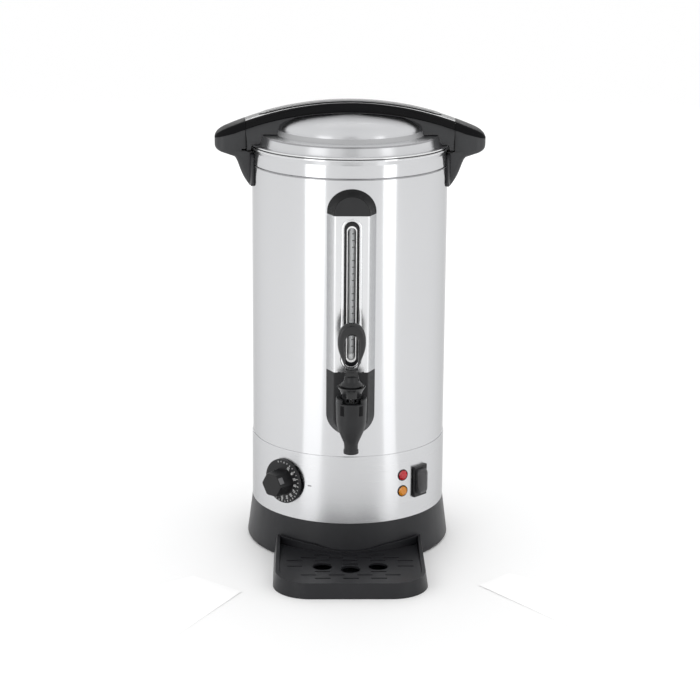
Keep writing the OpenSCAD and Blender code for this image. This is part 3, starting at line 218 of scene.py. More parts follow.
def build_brushing():
    """Fine lines left by polishing round the axis: a height, and a change of gloss."""
    group, inside, out = new_group("brushing", [("Strength", 1.0), ("Patch", 0.5)], ["Height", "Gloss"])
    lines = noise_node(group, stretched(group, (9, 9, 2600)), 1.0, 2.0)
    wide = noise_node(group, stretched(group, (3, 3, 240)), 1.0, 3.0)
    patch = noise_node(group, stretched(group, (14, 14, 9)), 1.0, 2.0)
    mixed = math_node(group, "ADD", times(group, lines, 0.65), times(group, wide, 0.35))
    group.links.new(times(group, mixed, inside.outputs["Strength"]), out.inputs["Height"])
    shift = times(group, centred(group, patch), inside.outputs["Patch"])
    gloss = times(group, centred(group, mixed), inside.outputs["Strength"])
    group.links.new(math_node(group, "ADD", gloss, shift), out.inputs["Gloss"])
    return group


def build_spinning():
    """The same lines on a spun lid, where they are rings about the axis."""
    group, inside, out = new_group("spinning", [("Strength", 1.0)], ["Height", "Gloss"])
    pitch, drift = 1700.0, 5.0
    place = group.nodes.new("ShaderNodeTexCoord")
    flat = group.nodes.new("ShaderNodeVectorMath")
    flat.operation = "MULTIPLY"
    flat.inputs[1].default_value = (1, 1, 0)
    group.links.new(place.outputs["Object"], flat.inputs[0])
    reach = group.nodes.new("ShaderNodeVectorMath")
    reach.operation = "LENGTH"
    group.links.new(flat.outputs["Vector"], reach.inputs[0])
    split = group.nodes.new("ShaderNodeSeparateXYZ")
    group.links.new(place.outputs["Object"], split.inputs[0])
    join = group.nodes.new("ShaderNodeCombineXYZ")
    for value, scale, socket in zip((reach.outputs["Value"], split.outputs[2], split.outputs[0]),
                                    (pitch, pitch, drift), join.inputs):
        group.links.new(times(group, value, scale), socket)
    rings = noise_node(group, join.outputs[0], 1.0, 3.0)
    group.links.new(times(group, rings, inside.outputs["Strength"]), out.inputs["Height"])
    group.links.new(times(group, centred(group, rings), inside.outputs["Strength"]), out.inputs["Gloss"])
    return group


def build_moulding():
    """The fine spark-eroded grain of a moulding, with faint wiping marks in its gloss."""
    group, inside, out = new_group("moulding", [("Grain", 1.0), ("Marks", 1.0)],
                                   ["Height", "Gloss", "Tone"])
    grain = noise_node(group, stretched(group, (1, 1, 1)), 2600.0, 2.0, 0.6)
    marks = noise_node(group, stretched(group, (1, 1, 1)), 38.0, 4.0, 0.6)
    group.links.new(times(group, grain, inside.outputs["Grain"]), out.inputs["Height"])
    group.links.new(times(group, centred(group, marks), inside.outputs["Marks"]), out.inputs["Gloss"])
    group.links.new(marks, out.inputs["Tone"])
    return group


BRUSHING, SPINNING, MOULDING = build_brushing(), build_spinning(), build_moulding()
FINISHES = {}


def start_finish(name, group, **values):
    """A new finish: its tree, its shader and the effect that it is built on."""
    finish = bpy.data.materials.new(name)
    finish.use_nodes = True
    FINISHES[name] = finish
    tree = finish.node_tree
    effect = tree.nodes.new("ShaderNodeGroup")
    effect.node_tree = group
    set_inputs(effect, values)
    return tree, tree.nodes["Principled BSDF"], effect


def add_gloss(tree, shader, gloss, rough):
    tree.links.new(math_node(tree, "ADD", gloss, rough, clamp=True), shader.inputs["Roughness"])


def add_bump(tree, shader, height, distance):
    bump = tree.nodes.new("ShaderNodeBump")
    set_inputs(bump, {"Strength": 1.0, "Distance": distance})
    tree.links.new(height, bump.inputs["Height"])
    tree.links.new(bump.outputs["Normal"], shader.inputs["Normal"])


def add_colour(tree, shader, factor, dark, light):
    """A colour that wanders between two tones."""
    ramp = tree.nodes.new("ShaderNodeValToRGB")
    for stop, position, tone in zip(ramp.color_ramp.elements, (0.3, 0.7), (dark, light)):
        stop.position = position
        stop.color = (*tone, 1)
    tree.links.new(factor, ramp.inputs["Fac"])
    tree.links.new(ramp.outputs["Color"], shader.inputs["Base Color"])


def scaled(tone, factor):
    return tuple(c * factor for c in tone)


def steel_finish(name, tone, rough, group=BRUSHING, strength=1.0, edge=0.95, stretch=0.0):
    """Bright stainless sheet.  Its polishing lines run round the axis and stretch what it mirrors upright."""
    tree, shader, effect = start_finish(name, group, Strength=strength)
    set_inputs(shader, {"Metallic": 1, "Specular Tint": (edge, edge, edge, 1), "Anisotropic": stretch,
                        "Anisotropic Rotation": 0.25})
    add_gloss(tree, shader, times(tree, effect.outputs["Gloss"], 0.12), rough)
    shade = math_node(tree, "ADD", times(tree, effect.outputs["Gloss"], 0.6), 0.5)
    add_colour(tree, shader, shade, scaled(tone, 0.965), tone)
    add_bump(tree, shader, effect.outputs["Height"], 0.000012)


def plastic_finish(name, tone, rough, grain=0.00002, marks=0.10, coat=0.0, spread=0.12, gleam=0.3):
    """A moulded plastic with its grain and handling marks."""
    tree, shader, effect = start_finish(name, MOULDING, Grain=1.0, Marks=marks)
    add_gloss(tree, shader, effect.outputs["Gloss"], rough)
    add_colour(tree, shader, effect.outputs["Tone"], scaled(tone, 1 - spread), scaled(tone, 1 + spread))
    set_inputs(shader, {"Specular IOR Level": gleam, "Coat Weight": coat, "Coat Roughness": 0.08})
    add_bump(tree, shader, effect.outputs["Height"], grain)


def clear_finish(name, tone, rough, weight):
    """A clear glass or silicone, a little uneven in its colour."""
    tree, shader, effect = start_finish(name, MOULDING, Grain=1.0, Marks=0.04)
    add_colour(tree, shader, effect.outputs["Tone"], scaled(tone, 0.94), tone)
    add_gloss(tree, shader, effect.outputs["Gloss"], rough)
    set_inputs(shader, {"Transmission Weight": weight, "IOR": 1.45})


steel_finish("tank_steel", (0.645, 0.65, 0.662), 0.18, edge=0.68, stretch=0.9)
steel_finish("band_steel", (0.64, 0.645, 0.657), 0.25, strength=1.2, edge=0.68, stretch=0.8)
steel_finish("lid_steel", (0.645, 0.65, 0.662), 0.34, group=SPINNING, edge=0.85, stretch=0.93)
# Glossier steel for the rolled edges, its lighter tone a painted highlight
steel_finish("hem_highlight_steel", (0.78, 0.785, 0.79), 0.12, strength=0.3)
# Dark steel for thin bands at creases: painted shade
steel_finish("crease_shade_steel", (0.34, 0.34, 0.35), 0.3)
# Rougher steel for the dome's foot, its darker tone a painted shade
steel_finish("satin_shade_steel", (0.45, 0.453, 0.46), 0.5, group=SPINNING)
steel_finish("column_steel", (0.76, 0.765, 0.775), 0.2)
steel_finish("plate_steel", (0.55, 0.56, 0.57), 0.42, strength=0.6)
steel_finish("fixing_steel", (0.62, 0.62, 0.62), 0.28, strength=0.5)
steel_finish("fitting_brass", (0.62, 0.45, 0.20), 0.30, strength=0.5)
steel_finish("cast_alloy", (0.60, 0.61, 0.62), 0.45, strength=0.4)
plastic_finish("base_plastic", (0.0145, 0.0148, 0.017), 0.40)
plastic_finish("handle_plastic", (0.024, 0.0248, 0.0268), 0.46, gleam=0.45)
plastic_finish("gloss_plastic", (0.0025, 0.0025, 0.003), 0.16, grain=0.000004, marks=0.05, gleam=0.12)
plastic_finish("grained_plastic", (0.005, 0.005, 0.0056), 0.5, grain=0.00008, marks=0.5, gleam=0.06)
plastic_finish("inlay_plastic", (0.012, 0.012, 0.013), 0.38)
plastic_finish("trim_plastic", (0.78, 0.78, 0.78), 0.25, grain=0.000004)
plastic_finish("scale_grey", (0.60, 0.60, 0.61), 0.5, grain=0.000004)
plastic_finish("rocker_plastic", (0.012, 0.012, 0.013), 0.22, grain=0.000004)
plastic_finish("column_plastic", (0.018, 0.0183, 0.0195), 0.42)
plastic_finish("gauge_plastic", (0.008, 0.008, 0.009), 0.16, grain=0.000004)
plastic_finish("tap_plastic", (0.013, 0.0133, 0.0145), 0.34)
plastic_finish("lever_plastic", (0.008, 0.0082, 0.009), 0.2, grain=0.000008, gleam=0.5)
plastic_finish("rim_plastic", (0.005, 0.005, 0.0055), 0.25, grain=0.000008, gleam=0.2)
plastic_finish("knob_plastic", (0.011, 0.011, 0.012), 0.36)
plastic_finish("tray_plastic", (0.0125, 0.0128, 0.0148), 0.38)
plastic_finish("terminal_plastic", (0.72, 0.70, 0.62), 0.45)
plastic_finish("foot_rubber", (0.012, 0.012, 0.012), 0.75, grain=0.00004)
plastic_finish("seal_silicone", (0.62, 0.63, 0.63), 0.5)
plastic_finish("wire_jacket", (0.20, 0.03, 0.025), 0.5)
plastic_finish("print_white", (0.80, 0.80, 0.80), 0.6, grain=0.000002)
plastic_finish("mark_grey", (0.33, 0.33, 0.34), 0.6, grain=0.000002)
plastic_finish("print_grey", (0.16, 0.16, 0.165), 0.6, grain=0.000002)
clear_finish("gauge_glass", (0.66, 0.675, 0.68), 0.05, 0.3)
clear_finish("boot_silicone", (0.16, 0.16, 0.17), 0.08, 0.8)
plastic_finish("red_lens", (0.40, 0.006, 0.014), 0.08, grain=0.000002, coat=0.7, spread=0.3)
plastic_finish("amber_lens", (0.60, 0.21, 0.008), 0.08, grain=0.000002, coat=0.7, spread=0.3)

NODE_FINISH = {
    "tank_steel": ["tank"], "band_steel": ["control_band"], "lid_steel": ["lid_shell", "lid_locating_ring"],
    "column_steel": ["column_cover"], "plate_steel": ["bottom_plate"],
    "fixing_steel": ["tie_rods", "tie_rod_nuts", "lid_handle_screws", "handle_screws", "column_screws",
                     "tap_lever_pin", "tap_stem", "tap_spring", "thermostat_shaft", "inlet_pins",
                     "inlet_screws", "heater_element"],
    "fitting_brass": ["gauge_tee", "gauge_elbow", "gauge_elbow_nut", "tap_lock_nut", "thermostat_probe",
                      "cutout_probe"],
    "cast_alloy": ["heat_plate", "thermostat_body"],
    "base_plastic": ["base_skirt"], "handle_plastic": ["lid_handle", "lid_handle_inlay", "side_handle_left",
                                                       "side_handle_right"],
    "column_plastic": ["column_top_cap", "column_bottom_block"], "gauge_plastic": ["gauge_frame"],
    "tap_plastic": ["tap_body", "tap_bonnet", "tap_lever"],
    "knob_plastic": ["thermostat_knob", "lamp_holders", "switch_housing", "switch_rocker", "power_inlet",
                     "cutout_body"],
    "tray_plastic": ["drip_tray", "drip_grille"], "terminal_plastic": ["terminal_block"],
    "foot_rubber": ["rubber_feet"], "seal_silicone": ["handle_washers", "gauge_seals", "tap_washers",
                                                      "tap_seat_cup"],
    "wire_jacket": ["wiring"], "gauge_glass": ["gauge_glass"], "boot_silicone": ["switch_boot"],
    "red_lens": ["heating_lamp_lens", "cutout_reset_button"], "amber_lens": ["keep_warm_lamp_lens"],
}
for finish, nodes in NODE_FINISH.items():
    for node in nodes:
        NODES[node].data.materials.clear()
        NODES[node].data.materials.append(FINISHES[finish])

# ---- drawing helpers: pieces are drawn in millimetres and scaled once --------------------

MM = 0.001


def polar(r, angle):
    """X and Y at a distance and an angle in degrees."""
    return r * cos(radians(angle)), r * sin(radians(angle))


def arc(cx, cy, r, start, end, steps):
    """Points on an arc, from one angle to another in degrees."""
    spots = [polar(r, start + (end - start) * i / steps) for i in range(steps + 1)]
    return [(cx + x, cy + y) for x, y in spots]


def bezier(p, q, r, s, steps):
    """Points on a cubic curve between p and s."""
    out = []
    for i in range(steps + 1):
        t = i / steps
        a, b, c, d = (1 - t) ** 3, 3 * (1 - t) ** 2 * t, 3 * (1 - t) * t * t, t ** 3
        out.append(tuple(a * w + b * x + c * y + d * z for w, x, y, z in zip(p, q, r, s)))
    return out


def smooth(t):
    t = min(1.0, max(0.0, t))
    return t * t * (3 - 2 * t)


def rounded_box(half, low, high, top_round, low_round, crown=0.0):
    """A closed outline in Y and Z: a box with round corners and a crowned top."""
    a = min(top_round, half, (high - low) / 2)
    b = min(low_round, half, (high - low) / 2)
    ys = [(half - a) * (1 - i / 4) for i in range(1, 8)]
    top = [(y, high + crown * (1 - (y / half) ** 2)) for y in ys]
    return (arc(half - a, high - a, a, 0, 90, 5) + top + arc(a - half, high - a, a, 90, 180, 5)
            + arc(b - half, low + b, b, 180, 270, 5) + arc(half - b, low + b, b, 270, 360, 5))


def round_corners(points, radii, steps=5):
    """An open line with its inner corners rounded."""
    out = [points[0]]
    for before, corner, after, radius in zip(points, points[1:], points[2:], radii):
        a, c, b = Vector(before), Vector(corner), Vector(after)
        reach = min(radius, (a - c).length * 0.45, (b - c).length * 0.45)
        start, end = c + (a - c).normalized() * reach, c + (b - c).normalized() * reach
        for i in range(steps + 1):
            t = i / steps
            out.append(tuple(start * (1 - t) ** 2 + c * (2 * t * (1 - t)) + end * t * t))
    out.append(points[-1])
    return out


def sheet_section(line, thickness):
    """The closed section of sheet metal that follows an open line, with its thickness on the right."""
    back = []
    for i, point in enumerate(line):
        a = Vector(line[max(0, i - 1)])
        b = Vector(line[min(len(line) - 1, i + 1)])
        along = (b - a).normalized()
        back.append((point[0] + along.y * thickness, point[1] - along.x * thickness))
    return list(line) + back[::-1]


def skin_rows(skin, rings, closed=False):
    """Faces between rings that match point by point.  Returns the rings of new points."""
    rows = [[skin.verts.new(point) for point in ring] for ring in rings]
    for a, b in zip(rows, rows[1:] + rows[:1] if closed else rows[1:]):
        for i in range(len(a)):
            j = (i + 1) % len(a)
            skin.faces.new((a[i], a[j], b[j], b[i]))
    return rows


def finished(skin):
    """A skin with its doubles merged and its faces pointing outwards."""
    bmesh.ops.remove_doubles(skin, verts=skin.verts, dist=0.0005)
    bmesh.ops.recalc_face_normals(skin, faces=skin.faces)
    return skin


def loft(rings, closed=False):
    """A skin through closed rings that have the same number of points."""
    skin = bmesh.new()
    rows = skin_rows(skin, rings, closed)
    if not closed:
        skin.faces.new(rows[0][::-1])
        skin.faces.new(rows[-1])
    return finished(skin)


def lathe(section, steps=128):
    """A closed section in radius and height, spun about Z."""
    skin = bmesh.new()
    points = [skin.verts.new((r, 0, z)) for r, z in section]
    lines = [skin.edges.new(ends) for ends in zip(points, points[1:] + points[:1])]
    bmesh.ops.spin(skin, geom=points + lines, cent=(0, 0, 0), axis=(0, 0, 1), angle=2 * pi, steps=steps,
                   use_merge=True)
    return finished(skin)


def plate(outline, low, high):
    """A closed outline in X and Y, extruded along Z."""
    skin = bmesh.new()
    foot = skin.faces.new([skin.verts.new((x, y, low)) for x, y in outline])
    grown = bmesh.ops.extrude_face_region(skin, geom=[foot])["geom"]
    raised = [v for v in grown if isinstance(v, bmesh.types.BMVert)]
    bmesh.ops.translate(skin, vec=(0, 0, high - low), verts=raised)
    return finished(skin)


def soften(skin, radius, angle=30, segments=3):
    """Rounds the edges that are sharper than an angle."""
    edges = [e for e in skin.edges if len(e.link_faces) == 2 and e.calc_face_angle(0) > radians(angle)]
    bmesh.ops.bevel(skin, geom=edges, offset=radius, offset_type="OFFSET", affect="EDGES",
                    segments=segments, profile=0.5, material=-1, clamp_overlap=True)
    return skin


def carved(skin, cutter):
    """A skin with another one cut out of it."""
    pair = []
    for part in (skin, cutter):
        mesh = bpy.data.meshes.new("carving")
        part.to_mesh(mesh)
        part.free()
        pair.append(put("carving", mesh))
    cut = pair[0].modifiers.new("cut", "BOOLEAN")
    cut.operation = "DIFFERENCE"
    cut.solver = "EXACT"
    cut.object = pair[1]
    result = bmesh.new()
    result.from_object(pair[0], bpy.context.evaluated_depsgraph_get())
    for made in pair:
        bpy.data.meshes.remove(made.data)
    return result


def add_piece(name, skin, finish, node, place=None, sharp=38, scale=MM, give=None, extra=False):
    """Makes a piece with the body of a CAD node, for which it stands unless it is an extra."""
    if place is not None:
        bmesh.ops.transform(skin, matrix=place, verts=skin.verts)
    bmesh.ops.scale(skin, vec=(scale,) * 3, verts=skin.verts)
    mesh = bpy.data.meshes.new(name)
    skin.to_mesh(mesh)
    skin.free()
    mesh.polygons.foreach_set("use_smooth", [True] * len(mesh.polygons))
    mesh.set_sharp_from_angle(angle=radians(sharp))
    mesh.materials.append(FINISHES[finish])
    made = put(name, mesh)
    weighted = made.modifiers.new("even_normals", "WEIGHTED_NORMAL")
    weighted.keep_sharp = True
    if give:
        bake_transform(made)
    else:
        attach(made, BODY_OF[node])
    if not extra:
        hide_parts(node)


def dressed(node, finish, radius, angle=30, segments=2, fit=None):
    """The shape of a CAD node with its sharp edges rounded, standing for that node."""
    skin = bmesh.new()
    skin.from_mesh(NODES[node].data)
    bmesh.ops.remove_doubles(skin, verts=skin.verts, dist=0.000004)
    bmesh.ops.dissolve_limit(skin, angle_limit=radians(0.6), verts=skin.verts, edges=skin.edges)
    if fit is not None:
        bmesh.ops.transform(skin, matrix=fit, verts=skin.verts)
    add_piece(node + "_form", soften(skin, radius * MM, angle, segments), finish, node, scale=1.0)


def around(angle, z):
    """A place on the wall: the angle from the front, with -Y pointing out."""
    return turned(angle) @ moved(0, 0, z)


# A drawing in X and Y stood up in X and Z, facing -Y
UPRIGHT = turned(90, "X")

# ---- lid ---------------------------------------------------------------------------------

RIM_Z = 450.0
TANK_R = 107.5
# What lies on the tank's wall starts this far off it
WALL_GAP = 0.15
CROWN_Z, CREASE_R, CREASE_Z = 483.3, 80.5, 467.3
SHELF_R, SHELF_Z = 98.0, 462.3
WALL_FOOT_R, FLANGE_Z, FLANGE_R = 101.6, 451.8, 109.0
DOME_FOOT_R = 82.5
SHEET = 0.8
LID_STEPS = 192


def dome_height(r):
    return CREASE_Z + (CROWN_Z - CREASE_Z) * (1 - min(1.0, r / CREASE_R) ** 3.0) ** 0.5


def lid_height(r):
    """The top of the lid, or of the rim beyond it, at a distance from the axis."""
    if r <= CREASE_R:
        return dome_height(r)
    steps = [(CREASE_R, CREASE_Z), (DOME_FOOT_R, SHELF_Z), (SHELF_R, SHELF_Z), (WALL_FOOT_R, FLANGE_Z),
             (110.2, FLANGE_Z), (110.3, RIM_Z - 5), (200, RIM_Z - 5)]
    for (r0, z0), (r1, z1) in zip(steps, steps[1:]):
        if r <= r1:
            return z0 + (z1 - z0) * (r - r0) / (r1 - r0)
    return RIM_Z - 5


def lid_form():
    dome = [(r, dome_height(r)) for r in (0.0, 14, 27, 38, 47, 55, 61, 66, 70, 73, 75.5, 77.5, 79, 79.9)]
    steps = round_corners([dome[-1], (CREASE_R, CREASE_Z), (DOME_FOOT_R, SHELF_Z), (SHELF_R, SHELF_Z),
                           (WALL_FOOT_R, FLANGE_Z), (FLANGE_R, FLANGE_Z)], [0.5, 1.4, 1.6, 1.2])
    return lathe(sheet_section(dome[:-1] + steps, SHEET), LID_STEPS)


def rolled_edge(reach, z, radius):
    """A round roll on a rim or a flange."""
    return lathe(arc(reach, z, radius, 0, 337.5, 15), LID_STEPS)


add_piece("lid_form", lid_form(), "lid_steel", "lid_shell", sharp=60)
# The rolled hem and rim roll are lighter than the tank's steel: a painted highlight
add_piece("lid_hem", rolled_edge(FLANGE_R - 0.1, FLANGE_Z - 0.1, 0.8), "hem_highlight_steel", "lid_shell")
add_piece("rim_roll", rolled_edge(108.8, RIM_Z - 1.2, 1.15), "hem_highlight_steel", "tank", extra=True)

# Thin bands of darker steel at the sheet's sharp creases: painted shade along the tank's bead, the shelf's
# edge and the dome's foot
BEAD_LINE = [(107.4, 428.5), (107.7, 428.6), (107.7, 429.3), (107.4, 429.4)]
SHELF_LINE = [(97.6, 462.2), (98.1, 462.3), (98.75, 460.6), (98.2, 460.6)]
DOME_LINE = [(80.3, 467.35), (80.8, 467.2), (81.6, 465.2), (82.7, 462.9), (83.4, 462.4), (83.4, 462.1),
             (81.9, 462.1)]
add_piece("bead_crease", lathe(BEAD_LINE, LID_STEPS), "crease_shade_steel", "tank", extra=True)
add_piece("shelf_crease", lathe(SHELF_LINE, LID_STEPS), "crease_shade_steel", "lid_shell")
# The dome's foot is rougher than the lid, and darker as painted shade
add_piece("dome_foot", lathe(DOME_LINE, LID_STEPS), "satin_shade_steel", "lid_shell")

# ---- bow across the lid, and the side handles that carry on its line ---------------------

SEAM_R, BOW_TOP, BOW_DROP = 114.8, 496.5, 20.0
BOW_ARCH = (SEAM_R ** 2 + BOW_DROP ** 2) / (2 * BOW_DROP)
BAND_HALF, BAND_END_HALF, BAND_EDGE = 14.5, 18.0, 10.6
NOSE_X, NOSE_Z, LEG_Z = 148.0, 455.0, 405.5
NOSE_HALF, NOSE_ROUND, SEAM_SLIMMER = 18.6, 12.0, 0.6
FOOT_Z, FOOT_HALF = RIM_Z - 3.4, 26.0


def bow_height(x):
    return BOW_TOP - BOW_ARCH + sqrt(BOW_ARCH ** 2 - x * x)


def band_half(x):
    return BAND_HALF + (BAND_END_HALF - BAND_HALF) * smooth(abs(x) / SEAM_R)


# Out to BAND_BEND the band follows the bow and thins a little; beyond it the lower edge falls evenly
BAND_BEND, BAND_THINNING, BAND_FALL = 125.0, 1.4, 0.255


def band_low(x):
    """Height of the glossy band's lower edge, which runs out at the nose."""
    x = abs(x)
    if x <= BAND_BEND:
        return bow_height(x) - BAND_EDGE + BAND_THINNING * smooth(x / BAND_BEND)
    return bow_height(BAND_BEND) - BAND_EDGE + BAND_THINNING - (x - BAND_BEND) * BAND_FALL


def to_seam(s, y):
    """X at a share of the way to the seam, which is round."""
    return s * sqrt(SEAM_R ** 2 - y * y)


def bow_band():
    rings = []
    for i in range(-32, 33):
        s = i / 32
        x0 = s * SEAM_R
        depth = bow_height(x0) - band_low(x0)
        top_round = 1.7 + 2.3 * smooth(abs(x0) / SEAM_R)
        section = rounded_box(band_half(x0), -depth, 0, top_round, 1.2, crown=0.5)
        rings.append([(to_seam(s, y), y, bow_height(to_seam(s, y)) + dz - 0.5) for y, dz in section])
    return loft(rings)


def web_half(z, top):
    """Half width of the bow's web, which widens to its feet on the lid."""
    t = min(1.0, max(0.0, (top - z) / max(1.0, top - FOOT_Z)))
    return BAND_END_HALF - 2.2 + (FOOT_HALF - BAND_END_HALF + 2.2) * smooth(t * 1.35)


# Shares of the way to the seam; they are close together where the web meets the lid's steps
HALF_STATIONS = [1, 0.992, 0.985, 0.975, 0.965, 0.955, 0.945, 0.93, 0.915, 0.9, 0.885, 0.87, 0.855, 0.84,
                 0.82, 0.8, 0.78, 0.76, 0.745, 0.73, 0.72, 0.71, 0.7, 0.69, 0.68, 0.66, 0.63, 0.6, 0.56,
                 0.5, 0.4, 0.3, 0.2, 0.1]
WEB_STATIONS = [-s for s in HALF_STATIONS] + [0.0] + HALF_STATIONS[::-1]
WEB_ROWS, UNDER_ROWS, WEB_GAP = 14, 12, 0.35


def bow_web():
    """The matte body under the band: a thin rib over the dome, and a web down to the rim at both ends."""
    rings = []
    for s in WEB_STATIONS:
        low = band_low(s * SEAM_R)
        top = low + 1.5
        slim = smooth((0.62 - abs(s)) / 0.1)
        limit = low - 1.1 if slim > 0.99 else -1e9
        front = []
        for k in range(WEB_ROWS + 1):
            # walk down the front face until the lid is met
            z = top - (top - FOOT_Z) * k / WEB_ROWS
            half = web_half(z, top) * (1 - slim) + (band_half(s * SEAM_R) - 0.9) * slim
            front.append((half, max(z, lid_height(hypot(to_seam(s, half), half)) + WEB_GAP, limit)))
        under = []
        for k in range(1, UNDER_ROWS):
            y = front[-1][0] * (1 - 2 * k / UNDER_ROWS)
            z = max(lid_height(hypot(to_seam(s, y), y)) + WEB_GAP, limit)
            under.append((-y, min(z, top - 0.4)))
        outline = [(-y, z) for y, z in front] + under + front[::-1]
        rings.append([(to_seam(s, y), y, z) for y, z in outline])
    return loft(rings)


def bow_inlay(half_l, half_w, stand):
    """A raised strip with round ends and round shoulders, on the bow's curve."""
    rings = []
    for i in range(-36, 37):
        x = half_l * sin(pi / 2 * i / 36)
        end = max(0.0, abs(x) - (half_l - half_w))
        half = max(0.25, sqrt(max(0.0, half_w ** 2 - end ** 2)))
        rise = stand * min(1.0, half / 2.5)
        section = rounded_box(half, -1.2, rise, 0.55, 0.2, crown=0.12)
        rings.append([(x, y, bow_height(x) + dz) for y, dz in section])
    return loft(rings)


add_piece("bow_band", bow_band(), "gloss_plastic", "lid_handle")
add_piece("bow_web", bow_web(), "handle_plastic", "lid_handle", sharp=50)
add_piece("bow_inlay", bow_inlay(100, 9, 0.85), "inlay_plastic", "lid_handle_inlay")
add_piece("bow_inlay_rib", bow_inlay(92, 5.5, 1.15), "inlay_plastic", "lid_handle_inlay")

HANDLE_START = SEAM_R + 0.4


def nose_half(x):
    """Half width of the side handle at x, a little slimmer at the seam and rounded at the nose."""
    if x <= NOSE_X - NOSE_ROUND - 6:
        return NOSE_HALF - SEAM_SLIMMER * (1 - smooth((x - HANDLE_START) / 15))
    over = max(0.0, x - (NOSE_X - NOSE_ROUND)) / NOSE_ROUND
    return NOSE_HALF - NOSE_ROUND + NOSE_ROUND * sqrt(max(0.0, 1 - min(1.0, over) ** 2))


ARCH_END = NOSE_X - 11
NOSE_TOP = bezier((ARCH_END, bow_height(ARCH_END)), (NOSE_X - 5, bow_height(ARCH_END) - 2.6),
                  (NOSE_X, NOSE_Z + 6.5), (NOSE_X, NOSE_Z + 2.5), 16)
NOSE_UNDER = bezier((NOSE_X, NOSE_Z - 6), (NOSE_X, NOSE_Z - 10), (NOSE_X - 4.5, NOSE_Z - 12.5),
                    (NOSE_X - 12, NOSE_Z - 14.5), 12)
UNDER_SLOPE = 0.34
LEG_LINE = bezier((TANK_R + 19.5, NOSE_Z - 17.5), (TANK_R + 15, NOSE_Z - 19.5), (TANK_R + 14, NOSE_Z - 33),
                  (TANK_R + 6.5, LEG_Z + 5.5), 14)


def follow(line, key, value):
    """The other coordinate of a line where one coordinate has a value."""
    other = 1 - key
    for a, b in zip(line, line[1:]):
        low, high = sorted((a[key], b[key]))
        if low <= value <= high and high > low:
            return a[other] + (b[other] - a[other]) * (value - a[key]) / (b[key] - a[key])
    return (line[0] if abs(line[0][key] - value) < abs(line[-1][key] - value) else line[-1])[other]


def nose_top(x):
    return bow_height(x) if x <= ARCH_END else follow(NOSE_TOP, 0, x)


def nose_low(x):
    end_x, end_z = NOSE_UNDER[-1]
    return follow(NOSE_UNDER, 0, x) if x >= end_x else end_z - (end_x - x) * UNDER_SLOPE


def from_seam(x, y):
    """X on the side handle, which starts along the round seam."""
    return x if x > HANDLE_START + 0.01 else sqrt(HANDLE_START ** 2 - y * y)


TURN_X = NOSE_X - 14
NOSE_STATIONS = ([HANDLE_START + (TURN_X - HANDLE_START) * i / 8 for i in range(8)]
                 + [TURN_X + 13.85 * sin(pi / 2 * i / 14) for i in range(15)])


def handle_cap(side):
    """The glossy end of the band on a side handle."""
    rings = []
    for x in NOSE_STATIONS:
        top = nose_top(x)
        low = min(band_low(x), top - 0.5)
        section = rounded_box(nose_half(x), low - top, 0, 4.0, 0.4, crown=0.5)
        rings.append([(side * from_seam(x, y), y, top + dz - 0.5) for y, dz in section])
    return loft(rings)


def handle_nose(side):
    """The matte body of the nose under the band, as wide as the bow's web at the seam."""
    rings = []
    for x in NOSE_STATIONS:
        half = nose_half(x) - 0.5
        top = min(band_low(x), nose_top(x) - 0.5) - 0.35
        low = min(nose_low(x), top - 0.6)
        flush = 1 - smooth((x - HANDLE_START) / 16)
        ring = []
        for y, z in rounded_box(max(0.3, half), low, top, 0.4, 4.5):
            if z > RIM_Z - 6:
                y *= 1 + (web_half(z, top + 1.8) / half - 1) * flush
            ring.append((side * from_seam(x, y), y, z))
        rings.append(ring)
    return loft(rings)


def handle_leg(side):
    """The leg between the nose and the tank, thick above and running out below."""
    rings = []
    for i in range(25):
        z = LEG_Z + 0.3 + (NOSE_Z - 12 - LEG_Z) * i / 24
        if z > NOSE_Z - 17.5:
            reach = TANK_R + 19.5 + (z - NOSE_Z + 17.5) * 0.8
        elif z > LEG_Z + 5.5:
            reach = follow(LEG_LINE, 1, z)
        else:
            reach = TANK_R + 2.2 + (z - LEG_Z) / 5.5 * 4.3
        half = 16 + 2 * smooth((z - NOSE_Z + 30) / 18)
        ys = [half * (1 - 2 * k / 8) for k in range(9)]
        near = [(sqrt((TANK_R + WALL_GAP) ** 2 - y * y), y) for y in ys]
        corner = min(5.0, (reach - near[0][0]) * 0.6)
        outer = (arc(reach - corner, corner - half, corner, -90, 0, 5)
                 + arc(reach - corner, half - corner, corner, 0, 90, 5))
        rings.append([(side * x, y, z) for x, y in near + outer])
    return loft(rings)


PLATE_HALF, PLATE_THICK = 28.0, 3.4


def handle_plate(side):
    """The flange that lies on the tank on both sides of the leg."""
    rings = []
    low, high = LEG_Z + 0.2, RIM_Z - 8
    for i in range(-14, 15):
        y = PLATE_HALF * sin(pi / 2 * i / 14)
        taper = sqrt(max(0.0, 1 - (y / (PLATE_HALF + 0.2)) ** 8))
        thick = PLATE_THICK * (0.35 + 0.65 * taper)
        cut = 4.5 * smooth((abs(y) - 22) / 6)
        angle = asin(y / (TANK_R + PLATE_THICK))
        foot, head = low + cut, high - cut
        section = [(WALL_GAP, foot), (thick - 0.9, foot), (thick, foot + 1), (thick, head - 1),
                   (thick - 0.9, head), (WALL_GAP, head)]
        rings.append([(side * (TANK_R + d) * cos(angle), (TANK_R + d) * sin(angle), z) for d, z in section])
    return loft(rings)


def bayonet_slot(side):
    """The slot that the bow's foot turns into: in front on the left, behind on the right."""
    inner, outer, near, far = 100, SEAM_R + 3.5, side * 5, side * 30
    corners = ((inner, near), (outer, near), (outer, far), (inner, far))
    return plate([(side * x, y) for x, y in corners], RIM_Z - 6, RIM_Z - 4)


